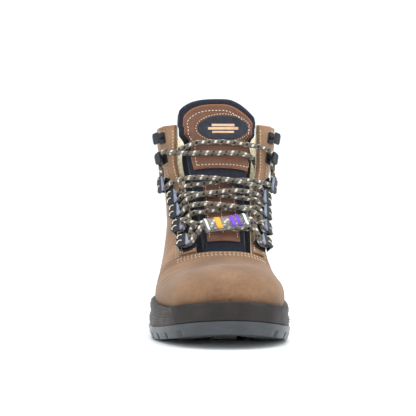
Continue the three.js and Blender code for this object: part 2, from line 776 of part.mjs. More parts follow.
// ---------------------------------------------------------------- lace hardware and lace
// Rows of hardware from the throat up: height as a share of the way from throat to collar, and
// half the distance between the two sides
const LACE_PLACES = [
  { kind: 'loop', height: 0.03, spread: 29 },
  { kind: 'loop', height: 0.15, spread: 31 },
  { kind: 'loop', height: 0.27, spread: 32 },
  { kind: 'loop', height: 0.385, spread: 33 },
  { kind: 'ankle', height: 0.505, spread: 40.5 },
  { kind: 'hook', height: 0.72, spread: 43 },
  { kind: 'hook', height: 0.885, spread: 45 },
].slice(0, LACE_ROWS);

const LACE_RADIUS = LACE_DIAMETER / 2;
const TURN_RADIUS = POST_RADIUS + LACE_CLEARANCE + LACE_RADIUS;
const LACE_LEVEL = PLATE + LACE_CLEARANCE + LACE_RADIUS; // lace centre above the hardware's base
const HARDWARE_HEIGHT = 2 * LACE_LEVEL;
const HARDWARE_SEAT = LAYER_GAP + OVERLAY + GAP; // its base above the skin
const POST = { loop: 0, ankle: 0, hook: -1.6 }; // the post's place across the piece

// Frame of a piece of hardware: x points outward, y up along the instep and z off the leather
function hardwareFrame(row, side) {
  const { height, spread } = LACE_PLACES[row];
  const z = mix(LINES.topZ[THROAT], COLLAR_HEIGHT, height);
  const [u, v] = frontPlace(z, spread * WIDTH_SCALE, side);
  const normal = skinNormal(u, v);
  const up = skin(u + 0.1, v).sub(skin(u - 0.1, v));
  up.addScaledVector(normal, -up.dot(normal)).normalize();
  const outward = vec(0, 0, 0).crossVectors(up, normal).multiplyScalar(side);
  const origin = onSkin(u, v, HARDWARE_SEAT);
  return { origin, outward, up, normal, side };
}

function inFrame(frame, x, y, z) {
  const { origin, outward, up, normal } = frame;
  return origin.clone().addScaledVector(outward, x).addScaledVector(up, y).addScaledVector(normal, z);
}

// The lace's way round a post, in the piece's own axes, between two angles in degrees
const TURNS = {
  loop: { from: -90, to: 90, leadIn: 3.4, leadOut: 3.4 },
  ankle: { from: -90, to: 0, leadIn: 3.4, leadOut: 8 },
  hook: { from: 0, to: 90, leadIn: 3.4, leadOut: 3.4 },
};
function turnPoints(kind) {
  const { from, to, leadIn, leadOut } = TURNS[kind];
  const steps = (to - from) / 45;
  const at = (degrees, lead) => {
    const angle = THREE.MathUtils.degToRad(degrees);
    const x = POST[kind] + TURN_RADIUS * Math.cos(angle) + lead * Math.sin(angle);
    return vec(x, TURN_RADIUS * Math.sin(angle) - lead * Math.cos(angle), LACE_LEVEL);
  };
  const points = [at(from, leadIn)];
  for (let i = 0; i <= steps; i += 1) {
    points.push(at(mix(from, to, i / steps), 0));
  }
  points.push(at(to, -leadOut));
  return points;
}

// A tube whose rings stand exactly at the given points
class RouteCurve extends THREE.Curve {
  constructor(points) {
    super();
    this.points = points;
  }

  getPoint(t) {
    const place = clamp01(t) * (this.points.length - 1);
    const i = Math.min(this.points.length - 2, Math.floor(place));
    return this.points[i].clone().lerp(this.points[i + 1], place - i);
  }

  getPointAt(t) {
    return this.getPoint(t);
  }

  getTangentAt(t) {
    const step = 0.5 / (this.points.length - 1);
    return this.getPoint(Math.min(1, t + step)).sub(this.getPoint(Math.max(0, t - step))).normalize();
  }
}

function tube(points, radius, sides) {
  const ring = new THREE.Shape();
  for (let i = 0; i < sides; i += 1) {
    const angle = (2 * Math.PI * (i + 0.5)) / sides;
    const [x, y] = [radius * Math.cos(angle), radius * Math.sin(angle)];
    if (i === 0) {
      ring.moveTo(x, y);
    } else {
      ring.lineTo(x, y);
    }
  }
  const path = new RouteCurve(points);
  const options = { steps: points.length - 1, extrudePath: path, bevelEnabled: false };
  return merged(new THREE.ExtrudeGeometry(ring, options));
}

function plate(shape, depth, segments) {
  return merged(new THREE.ExtrudeGeometry(shape, {
    depth,
    bevelEnabled: false,
    curveSegments: segments,
  }));
}

// Base leaf of a loop: its pointed wing reaches in under the lace
function leafShape() {
  const shape = new THREE.Shape();
  shape.moveTo(-9.5, -4.5);
  shape.quadraticCurveTo(-4, -8, 3.2, -7.5);
  shape.quadraticCurveTo(7, 0, 3.2, 7.5);
  shape.quadraticCurveTo(-4, 6.5, -9.5, -4.5);
  return shape;
}

// Cover over the lace's turn, with two round lobes on its outer side
function coverShape() {
  const shape = new THREE.Shape();
  const lobe = 4.1;
  shape.moveTo(-1.6, -7.4);
  shape.absarc(3.5, -3.3, lobe, -Math.PI / 2, Math.PI / 5, false);
  shape.absarc(3.5, 3.3, lobe, -Math.PI / 5, Math.PI / 2, false);
  shape.lineTo(-1.6, 7.4);
  return shape;
}

function laceLoop(kind) {
  const base = solid(plate(leafShape(), PLATE, 4));
  const cover = solid(plate(coverShape(), HARDWARE_HEIGHT, 3));
  const turn = turnPoints(kind);
  const start = turn[0].clone().add(vec(-14, 0, 0));
  const last = turn[turn.length - 1].clone();
  const end = kind === 'loop' ? last.add(vec(-14, 0, 0)) : last.add(vec(0, 14, 0));
  const channel = tube([start, ...turn, end], (LACE_RADIUS + LACE_CLEARANCE) / Math.cos(Math.PI / 6), 6);
  return geometryOf(base.add(cover).subtract(solid(channel)));
}

function roundedPlate(halfX, halfY, corner) {
  const shape = new THREE.Shape();
  const [x, y] = [halfX - corner, halfY - corner];
  shape.absarc(x, y, corner, 0, Math.PI / 2, false);
  shape.absarc(-x, y, corner, Math.PI / 2, Math.PI, false);
  shape.absarc(-x, -y, corner, Math.PI, 1.5 * Math.PI, false);
  shape.absarc(x, -y, corner, 1.5 * Math.PI, 2 * Math.PI, false);
  return shape;
}

// Open hook: a base and a top plate on a post, open on its outer side
function speedHook() {
  const shape = roundedPlate(4.4, 5, 1.6);
  const base = solid(plate(shape, PLATE, 2));
  const top = plate(shape, PLATE, 2);
  top.translate(0, 0, HARDWARE_HEIGHT - PLATE);
  const post = new THREE.CylinderGeometry(POST_RADIUS, POST_RADIUS, HARDWARE_HEIGHT - PLATE, 10);
  post.rotateX(Math.PI / 2);
  post.translate(POST.hook, 0, HARDWARE_HEIGHT / 2);
  return geometryOf(base.add(solid(top)).add(solid(merged(post))));
}

function placeHardware(name, geometry, row, side, material) {
  const { origin, outward, up, normal } = hardwareFrame(row, side);
  const mirrored = geometry.clone();
  if (side < 0) {
    mirrored.scale(-1, 1, 1);
  }
  const mesh = new THREE.Mesh(merged(mirrored), material);
  mesh.name = name;
  mesh.position.copy(origin);
  const across = outward.multiplyScalar(side);
  mesh.quaternion.setFromRotationMatrix(new THREE.Matrix4().makeBasis(across, up, normal));
  root.add(mesh);
}

// Place on the front of the boot from a signed distance across and a height, lifted off the skin
function overFront(x, z, lift) {
  const [near] = frontPlace(z, Math.abs(x), x > 0 ? 1 : -1);
  const fromRidge = x - alongList(LINES.ridge, near);
  const [u, v] = frontPlace(z, Math.abs(fromRidge), fromRidge > 0 ? 1 : -1);
  return onSkin(u, v, lift);
}

// One crossing of the lace between two points: `arch` lifts its middle up the instep, `rise` is
// where along it the height changes, and `over` lifts it off the skin between the marks `hump`
const LACE_LIFT = TONGUE_GAP + OVERLAY + 2 * GAP + LACE_RADIUS;
const OVER = LACE_DIAMETER + 0.9;
const CROSSING_STEPS = [0.13, 0.29, 0.43, 0.57, 0.71, 0.87];
const HUMP = [0.08, 0.32, 0.68, 0.92];
function crossing(from, to, { arch, over, rise = [0, 1], hump = HUMP, steps = CROSSING_STEPS }) {
  const points = [];
  for (const t of steps) {
    const x = mix(from.x, to.x, t);
    const z = mix(from.z, to.z, mix(t, smooth(...rise, t), 0.8)) + arch * 4 * t * (1 - t);
    const climb = over * smooth(hump[0], hump[1], t) * (1 - smooth(hump[2], hump[3], t));
    const nearEnd = mix(1.8, 0, smooth(0.12, 0.35, Math.min(t, 1 - t)));
    points.push(overFront(x, z, LACE_LIFT + nearEnd + climb));
  }
  return points;
}

// The lace round one piece of hardware, from its lower to its upper end
function turnAt(row, side) {
  const frame = hardwareFrame(row, side);
  return turnPoints(LACE_PLACES[row].kind).map((p) => inFrame(frame, p.x, p.y, p.z));
}

// Frame of the clear tag on the lowest strand: x along it, y across it, z off the tongue
const TAG_PLACE = { across: 6.5, rise: 9.5, tilt: 0.19, lift: 12.2 };
function tagFrame() {
  const z = hardwareFrame(0, 1).origin.z + TAG_PLACE.rise;
  const origin = overFront(TAG_PLACE.across, z, TAG_PLACE.lift);
  const [u, v] = frontPlace(z, 0.5, 1);
  const normal = skinNormal(u, v);
  normal.x = 0;
  normal.normalize();
  const across = vec(1, 0, 0);
  const up = vec(0, 0, 0).crossVectors(normal, across);
  const along = across.multiplyScalar(Math.cos(TAG_PLACE.tilt)).addScaledVector(up, Math.sin(TAG_PLACE.tilt));
  return { origin, along, up: vec(0, 0, 0).crossVectors(normal, along), normal };
}

// The lowest strand: from the medial to the lateral loop, straight where the tag sits on it
function lowestStrand(from, to) {
  const { origin, along } = tagFrame();
  const reach = TAG.length / 2 + 1.5;
  const right = origin.clone().addScaledVector(along, reach);
  const left = origin.clone().addScaledVector(along, -reach);
  const near = (a, b, t, lift) => a.clone().lerp(b, t).add(vec(0, -lift, 0));
  return [
    near(from, right, 0.5, 2.4),
    right,
    origin.clone().addScaledVector(along, reach / 3),
    origin.clone().addScaledVector(along, -reach / 3),
    left,
    near(left, to, 0.35, 0.5),
    near(left, to, 0.7, 0.8),
  ];
}

// The loose end: over the tongue, in under the eyestay and back along the inside of the collar
const TUCK_RISE = { lateral: 8.5, medial: 0.5 }; // above the lower pair of hooks
function tuckedEnd(side) {
  const z = hardwareFrame(5, side).origin.z + (side < 0 ? TUCK_RISE.lateral : TUCK_RISE.medial);
  const dive = [[24.5, 5.6], [28.3, 2.1], [31, -3], [33, -6.9], [37, -7.2]];
  const points = dive.map(([x, lift]) => overFront(side * x * WIDTH_SCALE, z, lift));
  for (let i = 0; i <= 5; i += 1) {
    points.push(insideCollar(side, i / 5, LACE_RADIUS));
  }
  return points;
}

// Place of a cord along the inside of the collar: at share 0 it has just gone in, at 1 it ends
function insideCollar(side, share, radius) {
  const z = hardwareFrame(5, side).origin.z;
  const [u] = frontPlace(z, 37 * WIDTH_SCALE, side);
  const along = u + (side < 0 ? 0.9 : 0) - mix(0.2, 1.3, share);
  const v = 0.5 + side * mix(0.15, 0.29, share);
  return onSkin(along, v, liningInner(along, v) - radius - 4 * GAP);
}

const AGLET = { radius: 2.4, length: 20 };
function aglet(side, laceEnd) {
  const far = insideCollar(side, 1.45, AGLET.radius);
  const along = far.sub(laceEnd).normalize();
  const from = laceEnd.clone().addScaledVector(along, 2 * GAP);
  return tube([from, from.clone().addScaledVector(along, AGLET.length)], AGLET.radius, 8);
}

// The whole lace, from its tucked end on the lateral side to the one on the medial side
function laceRoute() {
  const down = (row, side) => turnAt(row, side).reverse();
  const up = turnAt;
  const join = (points, next) => (points.length ? [...points, ...next] : next);
  const sideOf = (row) => (row > 3 || row % 2 === 0 ? 1 : -1);
  let route = tuckedEnd(-1).reverse();
  const strand = (target, options) => {
    const from = route[route.length - 1];
    route = join(route, crossing(from, target[0], options));
    route = join(route, target);
  };
  strand(down(5, sideOf(5)), { arch: 5, over: 0 });
  route = join(route, down(4, sideOf(4)));
  const late = { arch: 5, rise: [0.25, 0.75], steps: [0.07, 0.17, 0.3, 0.5, 0.7, 0.87] };
  strand(down(3, sideOf(3)), { ...late, over: 0 });
  for (const row of [2, 1]) {
    strand(down(row, sideOf(row)), { arch: 4, over: 0 });
  }
  const early = { arch: 3.5, rise: [0, 0.22], steps: [0.07, 0.14, 0.22, 0.3, 0.5, 0.68, 0.87] };
  strand(down(0, sideOf(0)), { ...early, over: OVER, hump: [-0.1, 0.02, 0.2, 0.29] });
  const last = up(0, -1);
  route = join(route, lowestStrand(route[route.length - 1], last[0]));
  route = join(route, last);
  strand(up(1, 1), { ...early, over: 0 });
  for (const row of [2, 3]) {
    strand(up(row, -sideOf(row)), { arch: 4, over: OVER });
  }
  strand(up(4, -1), { ...late, over: OVER });
  route = join(route, up(5, -1));
  const end = tuckedEnd(1);
  strand(end, { arch: 1, over: 0, rise: [0, 0.3] });
  return route;
}

// Clear flattened sleeve threaded on the lowest strand
function laceTag() {
  const corner = TAG.depth / 2 - 0.1;
  const shape = roundedPlate(TAG.height / 2, TAG.depth / 2, corner);
  const hole = roundedPlate(TAG.height / 2 - TAG.wall, TAG.depth / 2 - TAG.wall, corner - TAG.wall);
  shape.holes.push(hole);
  return plate(shape, TAG.length, 3);
}

function placeTag(name, geometry, material) {
  const { origin, along, up, normal } = tagFrame();
  const mesh = new THREE.Mesh(geometry, material);
  mesh.name = name;
  mesh.position.copy(origin).addScaledVector(along, -TAG.length / 2);
  mesh.quaternion.setFromRotationMatrix(new THREE.Matrix4().makeBasis(up, normal, along));
  root.add(mesh);
}

// ---------------------------------------------------------------- build
const root = new THREE.Group();

function add(name, geometry, material) {
  const mesh = new THREE.Mesh(geometry, material);
  mesh.name = name;
  root.add(mesh);
}

const paint = (color, roughness, metalness = 0) =>
  new THREE.MeshStandardMaterial({ color, roughness, metalness });
const LOOK = {
  nubuck: paint(0x94694a, 0.85),
  darkLeather: paint(0x7d5a47, 0.6),
  rubber: paint(0x3a4144, 0.45),
  guard: paint(0x54483f, 0.5),
  midsole: paint(0x554e4b, 0.6),
  steel: paint(0x9a9c9e, 0.35, 1),
  board: paint(0xc8b48c, 0.9),
  cork: paint(0xa67c4e, 0.95),
  foam: paint(0x6d6f72, 0.95),
  footbed: paint(0x3b3d42, 0.95),
  counter: paint(0xb9b4a6, 0.8),
  mesh: paint(0xebe1be, 0.9),
  cloth: paint(0x1c1e24, 0.9),
  badge: paint(0x222225, 0.6),
  hardware: paint(0x23262c, 0.4),
  lace: paint(0x6e675c, 0.9),
  aglet: paint(0x2a2a2a, 0.3),
  clear: paint(0xdfe6ea, 0.1),
};

const footSpace = solid(skinSolid(FOOT_SEAT, 16, 30, 34));
const insideLeather = solid(skinSolid(UNDER_LEATHER, 17, 20, 28));
const insideLining = solid(skinSolid(UNDER_LEATHER - STEEL_CAP - LINING - 4 * LAYER_GAP, 17, 20, 26));

add('outsole', outsole(), LOOK.rubber);
add('midsole', midsole(footSpace), LOOK.midsole);
add('toe_guard', toeGuard(footSpace), LOOK.guard);
add('steel_shank', shankPlate(0), LOOK.steel);
add('bottom_filler', bottomFiller(), LOOK.cork);
add('insole_board', insoleBoard(insideLeather), LOOK.board);
add('footbed', footbed(insideLining), LOOK.footbed);
add('steel_toe_cap', steelToeCap(), LOOK.steel);
add('vamp', vamp(), LOOK.nubuck);
add('vamp_lining', vampLining(), LOOK.mesh);
for (const [name, side] of [['lateral', -1], ['medial', 1]]) {
  add(`quarter_${name}`, quarter(side), LOOK.nubuck);
  add(`lining_${name}`, sideLining(side), LOOK.mesh);
  add(`eyestay_${name}`, eyestay(side), LOOK.nubuck);
  add(`collar_pad_${name}`, collarPad(side), LOOK.foam);
  add(`gusset_${name}`, gusset(side), LOOK.cloth);
}
add('backstay', backstay(), LOOK.nubuck);
add('heel_counter', heelCounter(), LOOK.counter);
add('tongue_pad', tonguePad(), LOOK.cloth);
add('tongue_overlay', tongueOverlay(), LOOK.darkLeather);
add('tongue_strip', tongueStrip(), LOOK.darkLeather);
add('tongue_badge', tongueBadge(), LOOK.badge);

const HARDWARE = { loop: laceLoop('loop'), ankle: laceLoop('ankle'), hook: speedHook() };
LACE_PLACES.forEach(({ kind }, row) => {
  for (const [name, side] of [['lateral', -1], ['medial', 1]]) {
    const label = { loop: `lace_loop_${row + 1}`, ankle: 'ankle_loop', hook: `speed_hook_${row - 4}` };
    placeHardware(`${label[kind]}_${name}`, HARDWARE[kind], row, side, LOOK.hardware);
  }
});

const route = laceRoute();
add('lace', tube(route, LACE_RADIUS, 7), LOOK.lace);
add('aglet_lateral', aglet(-1, route[0]), LOOK.aglet);
add('aglet_medial', aglet(1, route[route.length - 1]), LOOK.aglet);
placeTag('lace_tag', laceTag(), LOOK.clear);

export default root;
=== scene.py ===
"""Lace-up safety boot, right foot: the pieces that are seen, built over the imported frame.

Lengths are in millimetres until a point is placed, which turns them into metres.
The toe points to -Y, the inner side of the foot is +X, and +Z is up.
"""
import math

import bmesh
import bpy
from mathutils import Matrix, Vector


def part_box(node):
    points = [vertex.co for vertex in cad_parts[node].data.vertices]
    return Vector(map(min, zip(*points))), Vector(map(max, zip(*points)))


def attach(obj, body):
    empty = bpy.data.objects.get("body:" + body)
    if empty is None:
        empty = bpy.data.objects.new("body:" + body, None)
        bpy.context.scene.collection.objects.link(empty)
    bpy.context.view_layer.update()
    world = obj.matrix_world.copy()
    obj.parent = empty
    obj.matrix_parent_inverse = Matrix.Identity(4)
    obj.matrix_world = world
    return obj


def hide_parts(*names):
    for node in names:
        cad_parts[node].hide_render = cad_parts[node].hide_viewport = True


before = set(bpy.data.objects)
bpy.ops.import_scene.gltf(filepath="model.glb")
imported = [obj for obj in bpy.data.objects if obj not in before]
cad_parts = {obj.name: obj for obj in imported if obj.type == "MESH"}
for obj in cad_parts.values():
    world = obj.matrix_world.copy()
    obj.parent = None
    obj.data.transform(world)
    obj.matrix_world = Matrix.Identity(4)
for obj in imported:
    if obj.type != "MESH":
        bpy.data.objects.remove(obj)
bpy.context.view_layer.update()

MM = 0.001
SIDES = (("lateral", -1), ("medial", 1))

# ------------------------------------------------------------------ sizes
SOLE_HALF = 148.0
TREAD = 4.5
OUTSOLE_BASE = 5.5
HEEL_EXTRA = 3.0
MIDSOLE_BALL = 6.7
MIDSOLE_HEEL = 14.0
WALL = 14.0
TOE_WALL_DROP = 8.0
LEATHER = 2.0
OVERLAY = 1.4
OVERLAY_LIFT = 1.95
LINING = 1.5
COLLAR_HEIGHT = 174.0
LACE = 2.1
THROAT, COLLAR, TONGUE_TOP = 9, 19, 20
LASTED = 0.1
UNDER = -(LEATHER + 0.55)

SOLE_CENTRE = (6, 4.2, 2.5, 0.2, -1.8, -4.3, -5.5, -5, -3.2, -1.2, -0.2, 0, 0)
SOLE_WIDTH = (53, 54, 54.6, 55.6, 55.2, 50.6, 44.2, 39.6, 37.8, 38.2, 38.5, 38.3, 38)

# Sections of the upper from toe to tongue top: top y, top height, back y, back height, centre,
# ridge, half width, where it is widest, and how square its low and high halves are
SECTIONS = (
    (-140, 20, -140, 12.5, 6, 6.5, 0, 0.5, 2, 2),
    (-138.8, 26.5, -138.8, 6.5, 5.9, 7, 13.4, 0.4, 2.1, 2),
    (-135.5, 32, -135.5, 3.3, 5.7, 7.5, 21, 0.36, 2.2, 2),
    (-129, 37, -129, 1.6, 5.2, 8, 29.4, 0.34, 2.4, 2.05),
    (-119, 41, -119, 0.5, 4.5, 8.5, 37, 0.33, 2.6, 2.1),
    (-106, 43.5, -106, 0, 3.6, 8.5, 43.2, 0.33, 2.7, 2.15),
    (-90, 43.6, -90, 0, 2.5, 8, 47.6, 0.34, 2.7, 2.15),
    (-72, 42.8, -72, 0, 0.8, 7, 50.4, 0.35, 2.7, 2.1),
    (-54, 45, -52, 0, -0.9, 6, 50.6, 0.36, 2.7, 2.1),
    (-38, 51, -28, 0, -2.5, 5, 49, 0.37, 2.7, 2.15),
    (-25, 62, 4, 0, -3.4, 4.2, 46, 0.42, 2.7, 2.25),
    (-13, 74, 45, 0, -3, 3.4, 43.2, 0.53, 2.8, 2.3),
    (-2, 86, 88, 0, -1.8, 2.6, 42.2, 0.64, 3, 2.35),
    (7, 98, 124, 2, -0.8, 1.8, 42.2, 0.7, 3, 2.4),
    (14, 110, 139.5, 14, -0.4, 1, 43, 0.71, 2.7, 2.4),
    (19, 121.5, 142.5, 37, 0, 0.5, 44.4, 0.7, 2.6, 2.4),
    (22.5, 132.5, 140.5, 62, 0, 0, 46.6, 0.67, 2.55, 2.4),
    (25, 143, 137.5, 88, 0, 0, 49, 0.63, 2.5, 2.4),
    (26.5, 152, 136, 112, 0, 0, 51, 0.61, 2.45, 2.4),
    (27, 157, 136.5, 134, 0, 0, 52, 0.6, 2.4, 2.4),
    (25, 178, 138, 156, 0, 0, 52, 0.6, 2.4, 2.4),
)


# ------------------------------------------------------------------ curves of the last
def mix(a, b, t):
    return a + (b - a) * t


def clamp(t):
    return min(1.0, max(0.0, t))


def smooth(low, high, x):
    t = clamp((x - low) / (high - low))
    return t * t * (3 - 2 * t)


def along(row, place):
    """Catmull-Rom value at a fractional place in a row of numbers or points."""
    last = len(row) - 1
    i = min(last - 1, max(0, math.floor(place)))
    t = place - i
    b, c = row[i], row[i + 1]
    a = row[i - 1] if i > 0 else 2 * b - c
    d = row[i + 2] if i + 2 <= last else 2 * c - b
    return b + (c - a + (2 * a - 5 * b + 4 * c - d + (3 * (b - c) + d - a) * t) * t) * (0.5 * t)


def sole_edge(y, side, inset):
    t = max(-1.0, min(1.0, y / (SOLE_HALF - inset)))
    place = (t + 1) / 2 * (len(SOLE_CENTRE) - 1)
    half = along(SOLE_WIDTH, place) - inset
    share, power = (0.58, 2.3) if t < 0 else (0.28, 2.15)
    k = max(0.0, (abs(t) - (1 - share)) / share)
    return along(SOLE_CENTRE, place) + side * half * max(0.0, 1 - k ** power) ** (1 / power)


def ground(y):
    return 12 * max(0.0, (-60 - y) / 88) ** 1.8


def heel_share(y):
    return smooth(-30, 100, y)


def outsole_top(y):
    return ground(y) + TREAD + OUTSOLE_BASE + HEEL_EXTRA * heel_share(y)


def foot_line(y):
    return outsole_top(y) + 0.3 + mix(MIDSOLE_BALL, MIDSOLE_HEEL, heel_share(y))


def wall_top(y):
    return foot_line(y) + WALL - TOE_WALL_DROP * smooth(-48, -128, y)


BASE = foot_line(-60)
TOE_SCALE = 43.5 / 43.6
THROAT_RISE = 51 * TOE_SCALE
SHAFT_SCALE = (COLLAR_HEIGHT - BASE - THROAT_RISE) / (157 - 51)
BACK_SCALE = (COLLAR_HEIGHT - foot_line(100)) / 146


def top_rise(up):
    if up <= 51:
        return up * TOE_SCALE
    if up <= 157:
        return THROAT_RISE + (up - 51) * SHAFT_SCALE
    return COLLAR_HEIGHT - BASE + (up - 157)


TOP_Y = [s[0] for s in SECTIONS]
TOP_Z = [BASE + top_rise(s[1]) for s in SECTIONS]
BACK_Y = [s[2] for s in SECTIONS]
BACK_Z = [foot_line(min(s[2], 100)) + s[3] * (TOE_SCALE if i < THROAT else BACK_SCALE)
          for i, s in enumerate(SECTIONS)]
TOP_Z[0] = BACK_Z[0] = (TOP_Z[1] + BACK_Z[1]) / 2
CENTRE, RIDGE, HALF, WIDEST, LOW, HIGH = ([s[k] for s in SECTIONS] for k in range(4, 10))


def skin(u, v):
    """Point of the upper's outer face: u runs from toe to top, and v goes round the section from
    the bottom or back (0) by the outer side (0.25) and the top or front (0.5)."""
    angle = 2 * math.pi * v
    up, out = -math.cos(angle), abs(math.sin(angle))
    power = 2 / along(LOW if up < 0 else HIGH, u)
    widest = along(WIDEST, u)
    s = widest + (-widest if up < 0 else 1 - widest) * abs(up) ** power
    side = 1 if v > 0.5 or v < 0 else -1
    lean = max(0.0, (s - widest) / (1 - widest)) ** 1.5
    x = mix(along(CENTRE, u), along(RIDGE, u), lean) + side * max(0.0, along(HALF, u)) * out ** power
    return Vector((x, mix(along(BACK_Y, u), along(TOP_Y, u), s), mix(along(BACK_Z, u), along(TOP_Z, u), s)))


def skin_normal(u, v):
    if u < 0.02:
        return Vector((0, -1, 0))
    along_u = skin(u + 0.02, v) - skin(u - 0.02, v)
    along_v = skin(u, v + 0.004) - skin(u, v - 0.004)
    return along_v.cross(along_u).normalized()


def on_skin(u, v, lift):
    return skin(u, v) + skin_normal(u, v) * lift


def front_v(u, spread, side):
    """v of the place on the front of section u that lies `spread` from the ridge line."""
    ridge = along(RIDGE, u)
    near, far = 0.0, 0.25
    for _ in range(16):
        middle = (near + far) / 2
        if side * (skin(u, 0.5 + side * middle).x - ridge) < spread:
            near = middle
        else:
            far = middle
    return 0.5 + side * near


def front_place(z, spread, side):
    low, high = THROAT - 1, TONGUE_TOP
    for _ in range(18):
        middle = (low + high) / 2
        if skin(middle, front_v(middle, spread, side)).z < z:
            low = middle
        else:
            high = middle
    return low, front_v(low, spread, side)


def opening(u):
    return mix(mix(23, 27, smooth(THROAT, 12.5, u)), 35.5, smooth(12, 16, u))


def vamp_end(v):
    return THROAT + 2.1 * (abs(v - 0.5) / 0.42) ** 1.6


def pad_share(u, v):
    rising = smooth(16.1, 17.6, u)
    return rising * smooth(0.125, 0.19, abs(v - 0.5)) * (1 - 0.55 * smooth(18, 19, u))


def lining_lift(u, v):
    cap = 2.9 * (1 - smooth(6.6, 7.7, u))
    around = min(v, 1 - v)
    counter = 4.05 * smooth(11.5, 12.3, u) * (1 - smooth(16.3, 17.1, u)) * (1 - smooth(0.18, 0.22, around))
    return UNDER - max(cap, counter, 6 * pad_share(u, v))


def tongue_half(u):
    return opening(u) + mix(3, -1.5, smooth(16.1, 17.3, u))


def tongue_lift(u, v):
    side = 1 if v > 0.5 else -1
    spread = abs(v - 0.5) / abs(front_v(u, tongue_half(u), side) - 0.5)
    tucked = mix(-7.05, -9.9, smooth(13.6, 15, u))
    free = mix(-1, -0.2, smooth(13, 17, u)) - 1.5 * spread ** 4
    edge = smooth(0.53, 0.73, spread) * (1 - smooth(17.05, 17.7, u))
    root = 1 - smooth(THROAT + 0.1, THROAT + 1, u)
    return mix(free, tucked, max(edge, root)), spread


# ------------------------------------------------------------------ making pieces
def piece(name, bm, material, body, *nodes, slot=None, flat=False):
    """Turns a finished bmesh into an object that rides on a body and stands for CAD nodes."""
    name = name.replace(" ", "_")
    mesh = bpy.data.meshes.new(name)
    bm.to_mesh(mesh)
    bm.free()
    if not flat:
        mesh.shade_smooth()
    obj = bpy.data.objects.new(name, mesh)
    bpy.context.scene.collection.objects.link(obj)
    for m in material if isinstance(material, (list, tuple)) else [material]:
        mesh.materials.append(m)
    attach(obj, body)
    if nodes:
        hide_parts(*nodes)
    return obj


def grid(rows, cols, point, closed=False):
    """A grid whose corner (a, b), each from 0 to 1, is placed at point(a, b)."""
    bm = bmesh.new()
    bm.loops.layers.uv.new("UVMap")
    bmesh.ops.create_grid(bm, x_segments=cols, y_segments=rows, size=0.5, calc_uvs=True)
    for vert in bm.verts:
        vert.co = Vector(point(vert.co.y + 0.5, vert.co.x + 0.5)) * MM
    if closed:
        bmesh.ops.remove_doubles(bm, verts=bm.verts, dist=2e-5)
    return bm


def face_outward(bm):
    """Turns an open sheet so that most of it faces away from the boot's middle."""
    score = 0.0
    for f in bm.faces:
        c = f.calc_center_median()
        away = Vector((c.x, c.y - (0.06 if c.y > -0.03 else c.y), c.z - 0.03))
        score += f.normal.dot(away) * f.calc_area()
    if score < 0:
        bmesh.ops.reverse_faces(bm, faces=bm.faces)


def skin_sheet(name, rows, cols, place, lift, thickness, material, body, *nodes, slot, rim=0.35):
    """Leather or cloth cut to shape and laid at a height off the skin, with rounded edges."""
    def point(a, b):
        u, v = place(a, b)
        return on_skin(u, v, lift(u, v) if callable(lift) else lift)
    bm = grid(rows, cols, point, closed=True)
    bm.normal_update()
    face_outward(bm)
    obj = piece(name, bm, material, body, *nodes, slot=slot)
    wall = obj.modifiers.new("thickness", "SOLIDIFY")
    wall.thickness = thickness * MM
    wall.offset = -1
    if rim:
        edge = obj.modifiers.new("rounded edge", "BEVEL")
        edge.width = rim * MM
        edge.segments = 2
        edge.limit_method = "ANGLE"
        edge.angle_limit = math.radians(60)
    return obj


def add_to(bm, other):
    """Moves a second bmesh into the first."""
    spare = bpy.data.meshes.new("spare")
    other.to_mesh(spare)
    other.free()
    bm.from_mesh(spare)
    bpy.data.meshes.remove(spare)


def shell(rows, cols, front, back):
    """A closed pad between two faces whose rims meet."""
    bm = grid(rows, cols, front)
    add_to(bm, grid(rows, cols, back))
    bmesh.ops.remove_doubles(bm, verts=bm.verts, dist=6e-5)
    bmesh.ops.recalc_face_normals(bm, faces=bm.faces)
    return bm


def tube(points, radius, around, pitch):
    """A closed cord through points, with UVs that run round it and along it in steps of pitch."""
    length = [0.0]
    for p, q in zip(points, points[1:]):
        length.append(length[-1] + (q - p).length)
    frames = []
    normal = Vector((0.0, 0.0, 1.0))
    for i, p in enumerate(points):
        tangent = (points[min(i + 1, len(points) - 1)] - points[max(i - 1, 0)]).normalized()
        normal = (normal - tangent * normal.dot(tangent)).normalized()
        frames.append((p, normal.copy(), tangent.cross(normal)))
    steps = len(points) - 1

    def point(a, b):
        p, n, w = frames[round(a * steps)]
        end = min(1.0, min(a, 1 - a) * steps / 2 + 0.35)
        r = radius * math.sqrt(end)
        return p + (n * math.cos(2 * math.pi * b) + w * math.sin(2 * math.pi * b)) * r

    bm = grid(steps, around, point)
    uv = bm.loops.layers.uv.active
    for f in bm.faces:
        for loop in f.loops:
            place = loop[uv].uv
            loop[uv].uv = (place.x, length[round(place.y * steps)] / pitch)
    bmesh.ops.remove_doubles(bm, verts=bm.verts, dist=2e-6)
    bmesh.ops.holes_fill(bm, edges=[e for e in bm.edges if e.is_boundary], sides=0)
    bmesh.ops.recalc_face_normals(bm, faces=bm.faces)
    return bm


def stitch_row(bm, path, pitch, length, radius):
    """Sewn thread along a path of (point, normal): a small rounded stitch at every pitch."""
    run = 0.0
    goal = pitch / 2
    for (p, n), (q, _) in zip(path, path[1:]):
        step = (q - p).length
        while step > 0 and run + step >= goal:
            centre = p.lerp(q, (goal - run) / step)
            x = (q - p).normalized()
            z = (n - x * n.dot(x)).normalized()
            turn = Matrix((x, z.cross(x), z)).transposed().to_4x4()
            size = Matrix.Diagonal((length / 2 * MM, radius * MM, radius * 0.75 * MM, 1))
            place = Matrix.Translation((centre + z * radius * 0.25) * MM) @ turn @ size
            bmesh.ops.create_icosphere(bm, subdivisions=1, radius=1, matrix=place)
            goal += pitch
        run += step


